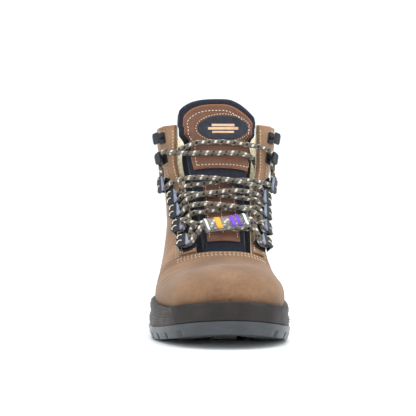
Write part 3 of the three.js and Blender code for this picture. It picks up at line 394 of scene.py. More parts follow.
def skin_path(place, lift, count=60):
    """Path along the skin, as (point, normal), through place(t) for t from 0 to 1."""
    path = []
    for i in range(count + 1):
        u, v = place(i / count)
        n = skin_normal(u, v)
        path.append((skin(u, v) + n * lift, n))
    return path


# ------------------------------------------------------------------ finishes
class Finish:
    """A material under construction, with short ways to add its patterns."""

    def __init__(self, name, roughness, metallic=0.0, **sockets):
        self.material = bpy.data.materials.new(name)
        self.material.use_nodes = True
        self.tree = self.material.node_tree
        self.shader = self.tree.nodes["Principled BSDF"]
        self.shader.inputs["Roughness"].default_value = roughness
        self.shader.inputs["Metallic"].default_value = metallic
        for socket, value in sockets.items():
            self.shader.inputs[socket.replace("_", " ")].default_value = value
        self.place = self.add("ShaderNodeTexCoord").outputs["Object"]

    def add(self, kind, **settings):
        node = self.tree.nodes.new(kind)
        for key, value in settings.items():
            setattr(node, key, value)
        return node

    def link(self, output, target):
        self.tree.links.new(output, target)

    def stretched(self, x, y, z):
        node = self.add("ShaderNodeMapping")
        node.inputs["Scale"].default_value = (x, y, z)
        self.link(self.place, node.inputs["Vector"])
        return node.outputs["Vector"]

    def on_map(self, x=1.0, y=1.0, turn=0.0):
        node = self.add("ShaderNodeMapping")
        node.inputs["Scale"].default_value = (x, y, 1)
        node.inputs["Rotation"].default_value = (0, 0, turn)
        uv = self.add("ShaderNodeUVMap", uv_map="UVMap")
        self.link(uv.outputs["UV"], node.inputs["Vector"])
        return node.outputs["Vector"]

    def noise(self, scale, detail=4.0, place=None):
        node = self.add("ShaderNodeTexNoise")
        node.inputs["Scale"].default_value = scale
        node.inputs["Detail"].default_value = detail
        self.link(place or self.place, node.inputs["Vector"])
        return node.outputs["Fac"]

    def cells(self, scale, feature="F1", place=None):
        node = self.add("ShaderNodeTexVoronoi", feature=feature)
        node.inputs["Scale"].default_value = scale
        self.link(place or self.place, node.inputs["Vector"])
        return node.outputs["Distance"]

    def wave(self, scale, direction, place=None, distortion=0.0):
        node = self.add("ShaderNodeTexWave", bands_direction=direction)
        node.inputs["Scale"].default_value = scale
        node.inputs["Distortion"].default_value = distortion
        self.link(place or self.place, node.inputs["Vector"])
        return node.outputs["Fac"]

    def sum(self, a, b, how="ADD", clip=False):
        node = self.add("ShaderNodeMath", operation=how, use_clamp=clip)
        for socket, value in zip(node.inputs, (a, b)):
            if isinstance(value, (int, float)):
                socket.default_value = value
            else:
                self.link(value, socket)
        return node.outputs[0]

    def ramp(self, value, *stops):
        node = self.add("ShaderNodeValToRGB")
        band = node.color_ramp
        while len(band.elements) < len(stops):
            band.elements.new(0.5)
        for element, (place, colour) in zip(band.elements, stops):
            element.position = place
            element.color = (*colour, 1) if isinstance(colour, tuple) else (colour,) * 3 + (1,)
        self.link(value, node.inputs["Fac"])
        return node.outputs["Color"]

    def blend(self, share, a, b, how="MIX"):
        node = self.add("ShaderNodeMix", data_type="RGBA", blend_type=how)
        for socket, value in ((node.inputs[0], share), (node.inputs[6], a), (node.inputs[7], b)):
            if isinstance(value, tuple):
                socket.default_value = (*value, 1)
            elif isinstance(value, (int, float)):
                socket.default_value = value
            else:
                self.link(value, socket)
        return node.outputs[2]

    def colour(self, output):
        self.link(output, self.shader.inputs["Base Color"])

    def roughness(self, output):
        self.link(output, self.shader.inputs["Roughness"])

    def bump(self, height, strength, depth):
        node = self.add("ShaderNodeBump")
        node.inputs["Strength"].default_value = strength
        node.inputs["Distance"].default_value = depth * MM
        self.link(height, node.inputs["Height"])
        previous = self.shader.inputs["Normal"].links
        if previous:
            self.link(previous[0].from_socket, node.inputs["Normal"])
        self.link(node.outputs["Normal"], self.shader.inputs["Normal"])


def leather_finish(name, dark, middle, light, roughness=0.78, nap=1.0):
    f = Finish(name, roughness, Sheen_Weight=0.12 * nap, Sheen_Roughness=0.5,
               Specular_IOR_Level=0.35)
    clouds = f.noise(38, 5)
    grain = f.noise(420, 6)
    tone = f.sum(f.sum(clouds, 0.72, "MULTIPLY"), f.sum(grain, 0.28, "MULTIPLY"))
    base = f.ramp(tone, (0.34, dark), (0.5, middle), (0.66, light))
    pores = f.ramp(f.cells(900), (0.0, 0.72), (0.32, 1.0))
    f.colour(f.blend(0.55, base, pores, "MULTIPLY"))
    f.bump(f.cells(760), 0.16, 0.25)
    f.bump(grain, 0.22, 0.3)
    f.bump(f.noise(70, 3), 0.18, 0.9)
    f.roughness(f.ramp(clouds, (0.3, roughness - 0.08), (0.7, roughness + 0.08)))
    return f.material


def rubber_finish(name, dark, light, roughness, grit, coat=0.0, shine=0.5):
    f = Finish(name, roughness, Coat_Weight=coat, Coat_Roughness=0.18, Specular_IOR_Level=shine)
    f.colour(f.ramp(f.noise(55, 6), (0.3, dark), (0.7, light)))
    f.bump(f.noise(1500, 3), grit, 0.12)
    f.bump(f.noise(90, 2), 0.08, 0.4)
    f.roughness(f.ramp(f.noise(160, 4), (0.3, roughness - 0.07), (0.7, roughness + 0.09)))
    return f.material


def cloth_finish(name, dark, light, scale, relief):
    f = Finish(name, 0.9, Sheen_Weight=0.25, Sheen_Roughness=0.4, Specular_IOR_Level=0.2)
    weave = f.sum(f.wave(scale, "X"), f.wave(scale, "Z"), "MULTIPLY")
    threads = f.sum(weave, f.sum(f.noise(600, 3), 0.5, "MULTIPLY"))
    f.colour(f.ramp(threads, (0.2, dark), (0.9, light)))
    f.bump(threads, relief, 0.3)
    f.bump(f.noise(60, 2), 0.15, 1.0)
    return f.material


def mesh_finish(name):
    f = Finish(name, 0.92, Sheen_Weight=0.2, Specular_IOR_Level=0.2)
    holes = f.cells(430)
    base = f.ramp(holes, (0.1, (0.30, 0.245, 0.13)), (0.34, (0.66, 0.585, 0.40)), (0.7, (0.80, 0.735, 0.56)))
    f.colour(f.blend(0.35, base, f.ramp(f.noise(900, 3), (0.3, 0.75), (0.7, 1.0)), "MULTIPLY"))
    f.bump(holes, 0.55, 0.8)
    f.bump(f.noise(1100, 2), 0.2, 0.2)
    return f.material


def lace_finish(name):
    """Braided cord: every band of its spiral carries white and black patches, turned by half a
    patch from one band to the next."""
    f = Finish(name, 0.9, Sheen_Weight=0.15, Specular_IOR_Level=0.2)
    strands = f.sum(f.wave(4.2, "DIAGONAL", f.on_map(6, 20)),
                    f.wave(4.2, "DIAGONAL", f.on_map(-6, 20)), "MAXIMUM")
    cord = f.ramp(f.sum(strands, f.sum(f.noise(700, 3), 0.4, "MULTIPLY")),
                  (0.35, (0.050, 0.040, 0.030)), (1.0, (0.150, 0.125, 0.092)))
    split = f.add("ShaderNodeSeparateXYZ")
    f.link(f.on_map(1, 1), split.inputs[0])
    turn, run = split.outputs[0], split.outputs[1]
    spiral = f.sum(f.sum(run, 2.0, "MULTIPLY"), turn, "ADD")
    beat = f.sum(f.sum(spiral, 100.0), 1.0, "MODULO")
    band = f.ramp(beat, (0.0, 0.0), (0.05, 1.0), (0.35, 1.0), (0.40, 0.0))
    odd = f.sum(f.sum(f.sum(spiral, 100.0), 2.0, "MODULO"), 1.0, "GREATER_THAN")
    around = f.sum(f.sum(f.sum(turn, 4.0, "MULTIPLY"), odd), 2.0, "MODULO")
    pale = f.ramp(f.sum(around, 0.5, "MULTIPLY"), (0.03, 0.0), (0.06, 1.0), (0.40, 1.0), (0.43, 0.0))
    dark = f.ramp(f.sum(around, 0.5, "MULTIPLY"), (0.53, 0.0), (0.56, 1.0), (0.90, 1.0), (0.93, 0.0))
    spotted = f.blend(f.sum(band, dark, "MULTIPLY"), cord, (0.008, 0.008, 0.011))
    f.colour(f.blend(f.sum(band, pale, "MULTIPLY"), spotted, (0.62, 0.60, 0.56)))
    f.bump(strands, 0.5, 0.35)
    return f.material


def thread_finish(name, dark, light):
    f = Finish(name, 0.75, Sheen_Weight=0.2)
    f.colour(f.ramp(f.noise(900, 2), (0.3, dark), (0.7, light)))
    f.bump(f.wave(1400, "DIAGONAL"), 0.35, 0.15)
    return f.material


def plastic_finish(name, dark, light, roughness):
    f = Finish(name, roughness, Specular_IOR_Level=0.25)
    f.colour(f.ramp(f.noise(220, 4), (0.3, dark), (0.7, light)))
    f.bump(f.noise(1800, 2), 0.12, 0.08)
    f.roughness(f.ramp(f.noise(300, 3), (0.3, roughness - 0.06), (0.7, roughness + 0.08)))
    return f.material


def grained_finish(name, dark, light, scale, relief, roughness=0.9, metallic=0.0, stretch=(1, 1, 1)):
    f = Finish(name, roughness, metallic)
    grain = f.noise(scale, 6, f.stretched(*stretch))
    f.colour(f.ramp(grain, (0.32, dark), (0.68, light)))
    f.bump(grain, relief, 0.3)
    f.roughness(f.ramp(grain, (0.3, roughness - 0.06), (0.7, min(1.0, roughness + 0.06))))
    return f.material


def clear_finish(name):
    f = Finish(name, 0.3, Alpha=0.05, IOR=1.2, Specular_IOR_Level=0.3)
    f.colour(f.ramp(f.noise(120, 2), (0.3, (0.80, 0.84, 0.87)), (0.7, (0.92, 0.94, 0.96))))
    f.bump(f.noise(60, 2), 0.1, 0.5)
    return f.material


NUBUCK = leather_finish("tan nubuck", (0.158, 0.080, 0.038), (0.215, 0.117, 0.061), (0.280, 0.164, 0.095))
TOE_NUBUCK = leather_finish("toe nubuck", (0.124, 0.061, 0.026), (0.172, 0.090, 0.042), (0.222, 0.125, 0.065))
BROWN = leather_finish("red-brown leather", (0.088, 0.034, 0.018), (0.122, 0.051, 0.028), (0.155, 0.070, 0.041),
                       0.62, 0.5)
RAW_EDGE = leather_finish("raw leather edge", (0.20, 0.075, 0.028), (0.26, 0.105, 0.042), (0.32, 0.14, 0.06))
CLOTH = cloth_finish("black woven cloth", (0.004, 0.005, 0.009), (0.030, 0.034, 0.050), 300, 0.4)
LINING_MESH = mesh_finish("cream air mesh")
TREAD_RUBBER = rubber_finish("slate tread rubber", (0.010, 0.013, 0.016), (0.026, 0.031, 0.036),
                             0.36, 0.10, 0.2)
WALL_RUBBER = rubber_finish("brown-grey midsole", (0.024, 0.019, 0.016), (0.044, 0.036, 0.031),
                            0.5, 0.18, 0.0, 0.3)
GUARD_RUBBER = rubber_finish("toe guard rubber", (0.010, 0.008, 0.007), (0.022, 0.017, 0.015),
                             0.42, 0.12, 0.0, 0.24)
LACE_CORD = lace_finish("flecked lace")
THREAD = thread_finish("cream thread", (0.55, 0.47, 0.33), (0.76, 0.68, 0.52))
BLACK_PLASTIC = plastic_finish("black plastic", (0.006, 0.007, 0.010), (0.016, 0.018, 0.024), 0.36)
# Blue-grey colour that stands for a painted highlight along the glossy black hardware's edges.
BLUE_GREY_PAINTED_HIGHLIGHT = plastic_finish("blue-grey painted highlight", (0.13, 0.15, 0.21), (0.21, 0.24, 0.31), 0.34)
RING_PLASTIC = plastic_finish("cream ring", (0.55, 0.50, 0.38), (0.72, 0.67, 0.55), 0.4)
BADGE_BLACK = plastic_finish("badge face", (0.010, 0.012, 0.020), (0.022, 0.025, 0.036), 0.5)
BADGE_TAN = plastic_finish("badge mark", (0.46, 0.29, 0.17), (0.58, 0.39, 0.25), 0.55)
CLEAR = clear_finish("clear film")
ORANGE = plastic_finish("orange print", (0.85, 0.27, 0.01), (0.95, 0.34, 0.02), 0.4)
PURPLE = plastic_finish("purple print", (0.10, 0.02, 0.42), (0.15, 0.04, 0.55), 0.4)
# Pale colour that stands for a painted highlight at the clear tag's two ends.
TAG_END_PAINTED_HIGHLIGHT = plastic_finish("white painted highlight", (0.70, 0.70, 0.70), (0.85, 0.85, 0.85), 0.4)
STEEL = grained_finish("plain steel", (0.42, 0.43, 0.45), (0.60, 0.61, 0.63), 300, 0.08, 0.35, 1.0, (1, 12, 1))
CORK = grained_finish("pressed cork", (0.20, 0.10, 0.04), (0.48, 0.28, 0.13), 500, 0.5)
BOARD = grained_finish("fibre board", (0.42, 0.32, 0.19), (0.58, 0.47, 0.30), 700, 0.25, 0.9, 0.0, (1, 3, 1))
FOAM = grained_finish("cut foam", (0.10, 0.10, 0.11), (0.20, 0.20, 0.21), 1500, 0.5)
STIFFENER = grained_finish("stiffener board", (0.38, 0.36, 0.29), (0.52, 0.50, 0.42), 400, 0.25)
FOOTBED_CLOTH = cloth_finish("footbed cloth", (0.020, 0.021, 0.026), (0.070, 0.072, 0.080), 260, 0.35)


# ------------------------------------------------------------------ sole
def closed_sweep(rows, cols, point):
    """A section swept along a path, with its open ends filled."""
    bm = grid(rows, cols, point)
    bmesh.ops.remove_doubles(bm, verts=bm.verts, dist=3e-6)
    bmesh.ops.holes_fill(bm, edges=[e for e in bm.edges if e.is_boundary], sides=0)
    bmesh.ops.recalc_face_normals(bm, faces=bm.faces)
    return bm


def edge_point(angle, inset):
    """Place (x, y) on the sole's outline: the angle runs from the toe round by the inner side."""
    y = -math.cos(angle) * (SOLE_HALF - inset)
    return sole_edge(y, 1 if math.sin(angle) > 0 else -1, inset), y


def on_outline(outline, place):
    """Values at a share of the way along a row of pairs joined by straight lines."""
    place = min(place * (len(outline) - 1), len(outline) - 1 - 1e-6)
    i = int(place)
    return tuple(mix(a, b, place - i) for a, b in zip(outline[i], outline[i + 1]))


# Inset of the midsole's wall at even steps from its foot to its top, and its inner side as
# (inset, share of the height)
MIDSOLE_PROFILE = (1.2, 0.7, 0.4, 0.6, 1.4, 1.4, 0.9, 1.4, 2.2)
MIDSOLE_INSIDE = ((2.2, 1.0), (7.0, 1.0), (9.0, 0.1), (1.2, 0.0))
WALL_SHARE = 0.8
RIBS = 8


def midsole_point(a, b):
    if b < WALL_SHARE:
        share = b / WALL_SHARE
        inset = along(MIDSOLE_PROFILE, share * (len(MIDSOLE_PROFILE) - 1))
        inset += 0.3 * (1 + math.cos(2 * math.pi * share * RIBS)) * smooth(0.02, 0.1, share)
    else:
        inset, share = on_outline(MIDSOLE_INSIDE, (b - WALL_SHARE) / (1 - WALL_SHARE))
    x, y = edge_point(2 * math.pi * a, inset)
    return (x, y, mix(outsole_top(y) + 0.1, wall_top(y), share))


piece("ribbed midsole wall", closed_sweep(260, 44, midsole_point), WALL_RUBBER, "boot", "midsole",
      slot="midsole_rubber")

# Section of the toe guard, as (inset, share of the height)
GUARD_OUTLINE = ((2.6, 0.0), (0.2, 0.0), (-0.15, 0.06), (-0.2, 0.5), (-0.1, 0.86), (0.25, 0.96),
                 (0.7, 1.0), (2.9, 1.0), (2.6, 0.0))


GUARD_ENDS = {-1: -123.0, 1: -112.0}
GUARD_LEAN = 0.36
GUARD_SEAM_DEPTH = 0.35
GUARD_SEAM_WIDTH = 0.0016


def guard_point(a, b):
    inset, share = on_outline(GUARD_OUTLINE, b)
    if b < 0.9:
        middle = abs(a - 0.5) * 0.2
        inset += GUARD_SEAM_DEPTH * math.exp(-((middle - 0.0005) / GUARD_SEAM_WIDTH) ** 2)

    def height(y):
        return mix(outsole_top(y) + 0.35, wall_top(y) + 1.4, share)

    side = -1 if a < 0.5 else 1
    end = GUARD_ENDS[side] + GUARD_LEAN * (height(-120) - outsole_top(-120)) - 2
    reach = SOLE_HALF - inset
    angle = abs(2 * a - 1) * math.acos(clamp(-end / reach))
    y = -math.cos(angle) * reach
    return (sole_edge(y, side, inset), y, height(y))


piece("toe guard shell", closed_sweep(130, 40, guard_point), GUARD_RUBBER, "boot", "toe_guard",
      slot="guard_rubber")


def block(bm, cuts, place):
    """Adds a solid block whose corner (a, b, c), each 0 to 1, is placed at place(a, b, c)."""
    cube = bmesh.new()
    bmesh.ops.create_cube(cube, size=1.0)
    bmesh.ops.subdivide_edges(cube, edges=cube.edges[:], cuts=cuts, use_grid_fill=True)
    for vert in cube.verts:
        vert.co = Vector(place(vert.co.x + 0.5, vert.co.y + 0.5, vert.co.z + 0.5)) * MM
    bmesh.ops.recalc_face_normals(cube, faces=cube.faces)
    add_to(bm, cube)


# Section of the outsole above its lugs, as (inset, share of the height)
OUTSOLE_OUTLINE = ((34, 0.0), (3.4, 0.0), (1.6, 0.02), (0.9, 0.12), (0.7, 0.35), (0.3, 0.6), (0.2, 0.93),
                   (0.7, 1.0), (34, 1.0))
LUG_PITCH = 17.0
LUG_GAP = 3.6
LUG_REACH = 21
TOE_LUG_REACH = 40
LUG_SLANT = 0.198
FIRST_LUG = 20
HEEL_BREAST = (30, 58)


def outsole_point(a, b):
    inset, share = on_outline(OUTSOLE_OUTLINE, b)
    x, y = edge_point(2 * math.pi * a, inset)
    return (x, y, mix(ground(y) + TREAD - 0.3, outsole_top(y), share))


def sole_middle(y):
    return along(SOLE_CENTRE, (y / SOLE_HALF + 1) / 2 * (len(SOLE_CENTRE) - 1))


def lug_height(y, share):
    return mix(ground(y), ground(y) + TREAD + 0.6, share)


def edge_lug(bm, side, start, end, reach, width_share):
    """A slanted lug between two places along the sole, reaching in from its edge."""
    def place(a, b, c):
        y = mix(start, end, b) - LUG_SLANT * (1 - a) * reach
        y = max(-SOLE_HALF + 1.5, min(SOLE_HALF - 1.5, y))
        edge = sole_edge(y, side, 0.7 + 1.6 * (1 - c))
        inward = edge - side * min(reach, abs(edge - sole_middle(y)) * width_share)
        return (mix(inward, edge, a), y, lug_height(y, c))
    block(bm, 5, place)


def middle_lug(bm, start, lean):
    def place(a, b, c):
        y = start + 11 * b + lean * mix(-5, 5, a)
        return (mix(-9, 9, a) + sole_middle(start), y, lug_height(y, c))
    block(bm, 1, place)


def outsole_body():
    bm = closed_sweep(200, 32, outsole_point)
    count = int((2 * SOLE_HALF - 36) / LUG_PITCH)
    for side in (-1, 1):
        edge_lug(bm, side, -SOLE_HALF + 1.5, -SOLE_HALF + FIRST_LUG - LUG_GAP / 2, TOE_LUG_REACH, 1.0)
        for i in range(count + 1):
            start = -SOLE_HALF + FIRST_LUG + i * LUG_PITCH + LUG_GAP / 2
            end = SOLE_HALF - 3 if i == count else start + LUG_PITCH - LUG_GAP
            edge_lug(bm, side, start, end, LUG_REACH, 0.86)
    for i in range(1, count):
        start = -SOLE_HALF + FIRST_LUG + i * LUG_PITCH + 3
        if not HEEL_BREAST[0] < start < HEEL_BREAST[1]:
            middle_lug(bm, start, 0.5 if i % 2 else -0.5)
    obj = piece("outsole and lugs", bm, TREAD_RUBBER, "boot", "outsole", slot="tread_rubber")
    edge = obj.modifiers.new("rounded edge", "BEVEL")
    edge.width = 0.55 * MM
    edge.segments = 2
    edge.limit_method = "ANGLE"
    edge.angle_limit = math.radians(50)


outsole_body()


# ------------------------------------------------------------------ upper
def vamp_place(a, b):
    u = (vamp_end(mix(LASTED, 1 - LASTED, b)) + 0.01) * a ** 1.25
    hem = LASTED * smooth(0, 3, u)
    return u, mix(hem, 1 - hem, b)


def hem_v(u):
    return mix(LASTED, 0.0007, smooth(12.2, 13.8, u))


def side_place(side, extra, top):
    def place(a, b):
        start = vamp_end(0.5 + side * mix(0.085, 0.4, 1 - b))
        u = mix(start + 0.015, top, a ** 1.2)
        edge = side * (front_v(u, opening(u) + extra, side) - 0.5)
        return u, 0.5 + side * mix(0.5 - hem_v(u), edge, b)
    return place


CREASES = 0.25


def leather_lift(u, v):
    """The nubuck bends a little where the foot flexes and where it passes over the collar pad."""
    flex = smooth(6.8, 7.6, u) * (1 - smooth(9.6, 10.6, u))
    wave = math.sin(u * 9 + 3 * math.sin(v * 17)) * smooth(0.06, 0.16, abs(v - 0.5))
    puff = 0.9 * pad_share(u, v) * (1 - smooth(18.2, 19, u))
    return CREASES * flex * wave + puff


skin_sheet("toe and vamp leather", 84, 120, vamp_place, leather_lift, LEATHER - 0.1, TOE_NUBUCK, "boot", "vamp",
           slot="leather")

for label, side in SIDES:
    skin_sheet(f"{label} quarter leather", 84, 84, side_place(side, 0, COLLAR), leather_lift, LEATHER - 0.1,
               NUBUCK, "boot", f"quarter_{label}", slot="leather")

    def lining_out(u, v):
        roll = smooth(COLLAR - 0.45, COLLAR + 0.12, u)
        return mix(lining_lift(u, v), UNDER - 0.2, roll)

    skin_sheet(f"{label} mesh lining", 60, 60, side_place(side, 0.3, COLLAR - 0.02), lining_out, LINING - 0.1,
               LINING_MESH, "boot", f"lining_{label}", slot="lining_mesh")

    whole = side_place(side, 0, COLLAR)

    def stay_place(a, b, whole=whole):
        return whole(a, mix(12 / 14, 1, b))

    skin_sheet(f"{label} eyestay leather", 90, 10, stay_place,
               lambda u, v: OVERLAY_LIFT + leather_lift(u, v) * 0.6, OVERLAY,
               NUBUCK, "boot", f"eyestay_{label}", slot="leather", rim=0.45)

    def gusset_place(a, b, side=side):
        u = mix(9.7, 13.4, a)
        return u, front_v(u, mix(tongue_half(u) - 3.5, tongue_half(u) + 5, b), side)

    gusset = skin_sheet(f"{label} gusset cloth", 30, 8, gusset_place,
                        lambda u, v: tongue_lift(u, v)[0] + 2.0, 0.6,
                        CLOTH, "boot", f"gusset_{label}", slot="black_cloth", rim=0)

    def pad_place(a, b, side=side):
        return mix(16.6, 18.5, a), 0.5 + side * mix(0.16, 0.495, b)

    def pad_front(a, b):
        u, v = pad_place(a, b)
        return on_skin(u, v, UNDER)

    def pad_back(a, b):
        u, v = pad_place(a, b)
        rim = min(1.0, 8 * min(a, 1 - a), 8 * min(b, 1 - b))
        return on_skin(u, v, UNDER - max(0.0, 6 * pad_share(u, v) - 1.1) * math.sqrt(rim))

    piece(f"{label} collar foam", shell(16, 40, pad_front, pad_back), FOAM, "boot",
                    f"collar_pad_{label}", slot="foam")


def backstay_place(a, b):
    width = 0.062 - 0.022 * math.sin(math.pi * clamp(a * 1.1))
    return mix(14.35, COLLAR - 0.05, a), mix(-width, width, b)


skin_sheet("backstay leather", 40, 16, backstay_place, OVERLAY_LIFT, OVERLAY, BROWN, "boot", "backstay",
           slot="leather", rim=0.45)


# ------------------------------------------------------------------ tongue
def tongue_place(start, top, left, right, roundness):
    """Place on the tongue: `left` and `right` are half widths, as functions of u."""
    def place(a, b):
        across = 2 * b - 1
        bend = 1 - (1 - min(1.0, abs(across)) ** 2.6) ** (1 / 2.6)
        u = mix(start, top - roundness * (bend + 0.3 * smooth(0.2, 1, across)), a)
        side = 1 if across > 0 else -1
        reach = (right if side > 0 else left)(u) * abs(across)
        return u, (0.5 if abs(across) < 1e-6 else front_v(u, reach, side))
    return place


def tongue_reach(u):
    return tongue_half(u) + 2.4 * smooth(18.5, 19.3, u)


TONGUE_PLACE = tongue_place(THROAT - 0.25, TONGUE_TOP, tongue_reach, tongue_reach, 0.95)


def tongue_front(a, b):
    u, v = TONGUE_PLACE(a, b)
    lift, spread = tongue_lift(u, v)
    roll = 1.0 * math.exp(-((1 - spread) / 0.12) ** 2) * smooth(16.6, 17.6, u)
    return on_skin(u, v, lift + roll - 1.6 * smooth(0.97, 1.0, spread))


def tongue_back(a, b):
    u, v = TONGUE_PLACE(a, b)
    lift, spread = tongue_lift(u, v)
    full = mix(4, 8, smooth(THROAT, 15, u)) * (1 - 0.55 * clamp(spread) ** 3) * (1 - 0.4 * smooth(19, 20, u))
    rim = min(1.0, 18 * (1 - a), 18 * a, 14 * min(b, 1 - b))
    return on_skin(u, v, lift - 1.6 * smooth(0.97, 1.0, spread) - full * math.sqrt(rim))


piece("padded tongue", shell(90, 60, tongue_front, tongue_back), CLOTH, "tongue", "tongue_pad",
                slot="black_cloth")


def on_tongue(u, v, lift):
    return on_skin(u, v, tongue_lift(u, v)[0] + lift)


def tongue_sheet(name, rows, cols, place, lift, thickness, material, node=None, slot=None, rim=0.4):
    nodes = (node,) if node else ()
    return skin_sheet(name, rows, cols, place, lambda u, v: tongue_lift(u, v)[0] + lift, thickness, material,
                      "tongue", *nodes, slot=slot, rim=rim)


def overlay_left(u):
    return tongue_reach(u) - 6.5 - 10 * (1 - smooth(16.2, 17.6, u))


def overlay_right(u):
    return tongue_reach(u) - 4 - 5 * (1 - smooth(14.6, 16.2, u))


def overlay_place(grow):
    return tongue_place(14.75 - grow * 0.07, TONGUE_TOP - 0.2 + grow * 0.06,
                        lambda u: overlay_left(u) + grow, lambda u: overlay_right(u) + grow, 0.85)


tongue_sheet("raw edge of tongue leather", 60, 40, overlay_place(0.0), 1.9, 0.9, RAW_EDGE, rim=0.3)
tongue_sheet("tongue leather", 60, 40, overlay_place(-0.6), 2.45, 1.0, BROWN, "tongue_overlay",
             "tongue_leather")
tongue_sheet("lower tongue strip", 60, 16,
             tongue_place(THROAT + 0.75, 13.55, lambda u: 13.5, lambda u: 13.5, 0), 2.35, 1.3, BROWN,
             "tongue_strip", "tongue_leather")

BADGE_Z = mix(TOP_Z[THROAT], TOP_Z[TONGUE_TOP], 0.805)


def badge_place(half_width, half_height, rise=0.0):
    def place(a, b):
        turn = math.pi * a
        x = 5 + half_width * math.sin(turn) * (2 * b - 1)
        z = BADGE_Z + rise - half_height * math.cos(turn)
        return front_place(z, abs(x), 1 if x > 0 else -1)
    return place


tongue_sheet("oval badge", 28, 28, badge_place(21, 10.6), 3.8, 0.9, BADGE_BLACK, "tongue_badge", "badge",
             rim=0.3)
for i, (across, rise, half, tall) in enumerate(((0, 2.2, 9.5, 1.5), (0, -1.2, 12.5, 0.9), (0, -4.0, 9.0, 0.9))):
    def bar_place(a, b, across=across, rise=rise, half=half, tall=tall):
        x = 5 + across + half * (2 * b - 1)
        z = BADGE_Z + rise + tall * (2 * a - 1)
        return front_place(z, abs(x), 1 if x > 0 else -1)
    tongue_sheet(f"badge bar {i + 1}", 3, 20, bar_place, 4.0, 0.35, BADGE_TAN, rim=0.0)


# ------------------------------------------------------------------ lace hardware
ROWS = ((0.03, 29, "loop"), (0.15, 31, "loop"), (0.27, 32, "loop"), (0.385, 33, "loop"),
        (0.505, 40.5, "ankle"), (0.72, 43, "hook"), (0.885, 45, "hook"))
PLATE, LEVEL, TALL = 1.2, 3.65, 7.3


def hardware_frame(row, side):
    height, spread, _ = ROWS[row]
    u, v = front_place(mix(TOP_Z[THROAT], COLLAR_HEIGHT, height), spread, side)
    normal = skin_normal(u, v)
    up = skin(u + 0.1, v) - skin(u - 0.1, v)
    up = (up - normal * up.dot(normal)).normalized()
    outward = up.cross(normal) * side
    return on_skin(u, v, 2.25), outward, up, normal


def put(bm, row, side, unit=1.0):
    """Moves a bmesh made in a hardware piece's own axes, in units of `unit` mm, to its place."""
    origin, outward, up, normal = hardware_frame(row, side)
    for v in bm.verts:
        x, y, z = v.co / unit
        v.co = (origin + outward * x + up * y + normal * z) * MM
    bmesh.ops.recalc_face_normals(bm, faces=bm.faces)


def outline_plate(bm, outline, low, high, edge, material=0):
    """Adds an outline of points raised between two heights, with a rounded upper rim."""
    old = len(bm.faces)
    face = bm.faces.new([bm.verts.new((x, y, low)) for x, y in outline])
    out = bmesh.ops.extrude_face_region(bm, geom=[face])
    top = {g for g in out["geom"] if isinstance(g, bmesh.types.BMVert)}
    bmesh.ops.translate(bm, verts=list(top), vec=(0, 0, high - low))
    if edge:
        rim = [e for e in bm.edges if all(v in top for v in e.verts)]
        bmesh.ops.bevel(bm, geom=rim, offset=edge, segments=2, profile=0.5, affect="EDGES", material=-1)
    bm.faces.ensure_lookup_table()
    for face in bm.faces[old:] if material else ():
        face.material_index = material


def bezier(points, steps=6):
    out = []
    for (p, c, q) in points:
        for i in range(steps):
            t = i / steps
            out.append(((1 - t) ** 2 * p[0] + 2 * t * (1 - t) * c[0] + t * t * q[0],
                        (1 - t) ** 2 * p[1] + 2 * t * (1 - t) * c[1] + t * t * q[1]))
    return out


LEAF = bezier((((-9.5, -4.5), (-4, -8), (3.2, -7.5)), ((3.2, -7.5), (7, 0), (3.2, 7.5)),
               ((3.2, 7.5), (-4, 6.5), (-9.5, -4.5))))


def lobes():
    points = [(-1.6, -7.4)]
    for centre, start, end in ((-3.3, -0.5, 0.2), (3.3, -0.2, 0.5)):
        points += [(3.5 + 4.1 * math.cos(math.pi * mix(start, end, i / 8)),
                    centre + 4.1 * math.sin(math.pi * mix(start, end, i / 8))) for i in range(9)]
    return points + [(-1.6, 7.4)]


RIDGE_OUTLINE = bezier((((-5.6, -4.6), (-2.2, -7.6), (-1.2, -7.2)), ((-1.2, -7.2), (-0.4, 0), (-1.2, 7.2)),
                        ((-1.2, 7.2), (-3.0, 4.6), (-3.4, 0)), ((-3.4, 0), (-3.6, -3.0), (-5.6, -4.6))), 4)
OUTER_WALL = ((6.1, -5.6), (7.3, -4.4), (7.3, -1.2), (6.6, 0), (7.3, 1.2), (7.3, 4.4), (6.1, 5.6))


def loop_piece(label, side, row, name):
    """Leaf plate, two-lobed cover over the lace's turn, bevelled ridge coloured blue-grey as a painted
    highlight, and two half rings.
    """
    bm = bmesh.new()
    bm.loops.layers.uv.new("UVMap")
    outline_plate(bm, LEAF, 0, PLATE, 0.35)
    outline_plate(bm, lobes(), LEVEL + LACE + 0.2, TALL + 0.35, 0.7)
    outline_plate(bm, OUTER_WALL, 0.4, TALL, 0.3)
    # The ridge takes material 1, a blue-grey painted highlight on the black plastic.
    outline_plate(bm, RIDGE_OUTLINE, LEVEL + LACE + 0.25, TALL + 0.15, 0.4, 1)
    put(bm, row, side)
    kind = "ankle_loop" if row == 4 else f"lace_loop_{row + 1}"
    piece(name, bm, (BLACK_PLASTIC, BLUE_GREY_PAINTED_HIGHLIGHT, RING_PLASTIC), "boot", f"{kind}_{label}", slot="hardware",
          flat=True)
    for k, centre in enumerate((-3.3, 3.3)):
        turns = (math.pi * mix(-0.15, 0.75, i / 14) for i in range(15))
        points = [Vector((3.7 + 2.5 * math.cos(t), centre + 2.5 * math.sin(t), TALL + 0.35)) for t in turns]
        ring = tube(points, 0.42, 8, 3.0)
        put(ring, row, side, MM)
        piece(f"{name} ring {k + 1}", ring, RING_PLASTIC, "boot")


def hook_outline(half_x, half_y, corner):
    points = []
    for i, (x, y) in enumerate(((1, 1), (-1, 1), (-1, -1), (1, -1))):
        turns = [math.pi * (i / 2 + k / 8) for k in range(5)]
        points += [(x * (half_x - corner) + corner * math.cos(t), y * (half_y - corner) + corner * math.sin(t))
                   for t in turns]
    return points


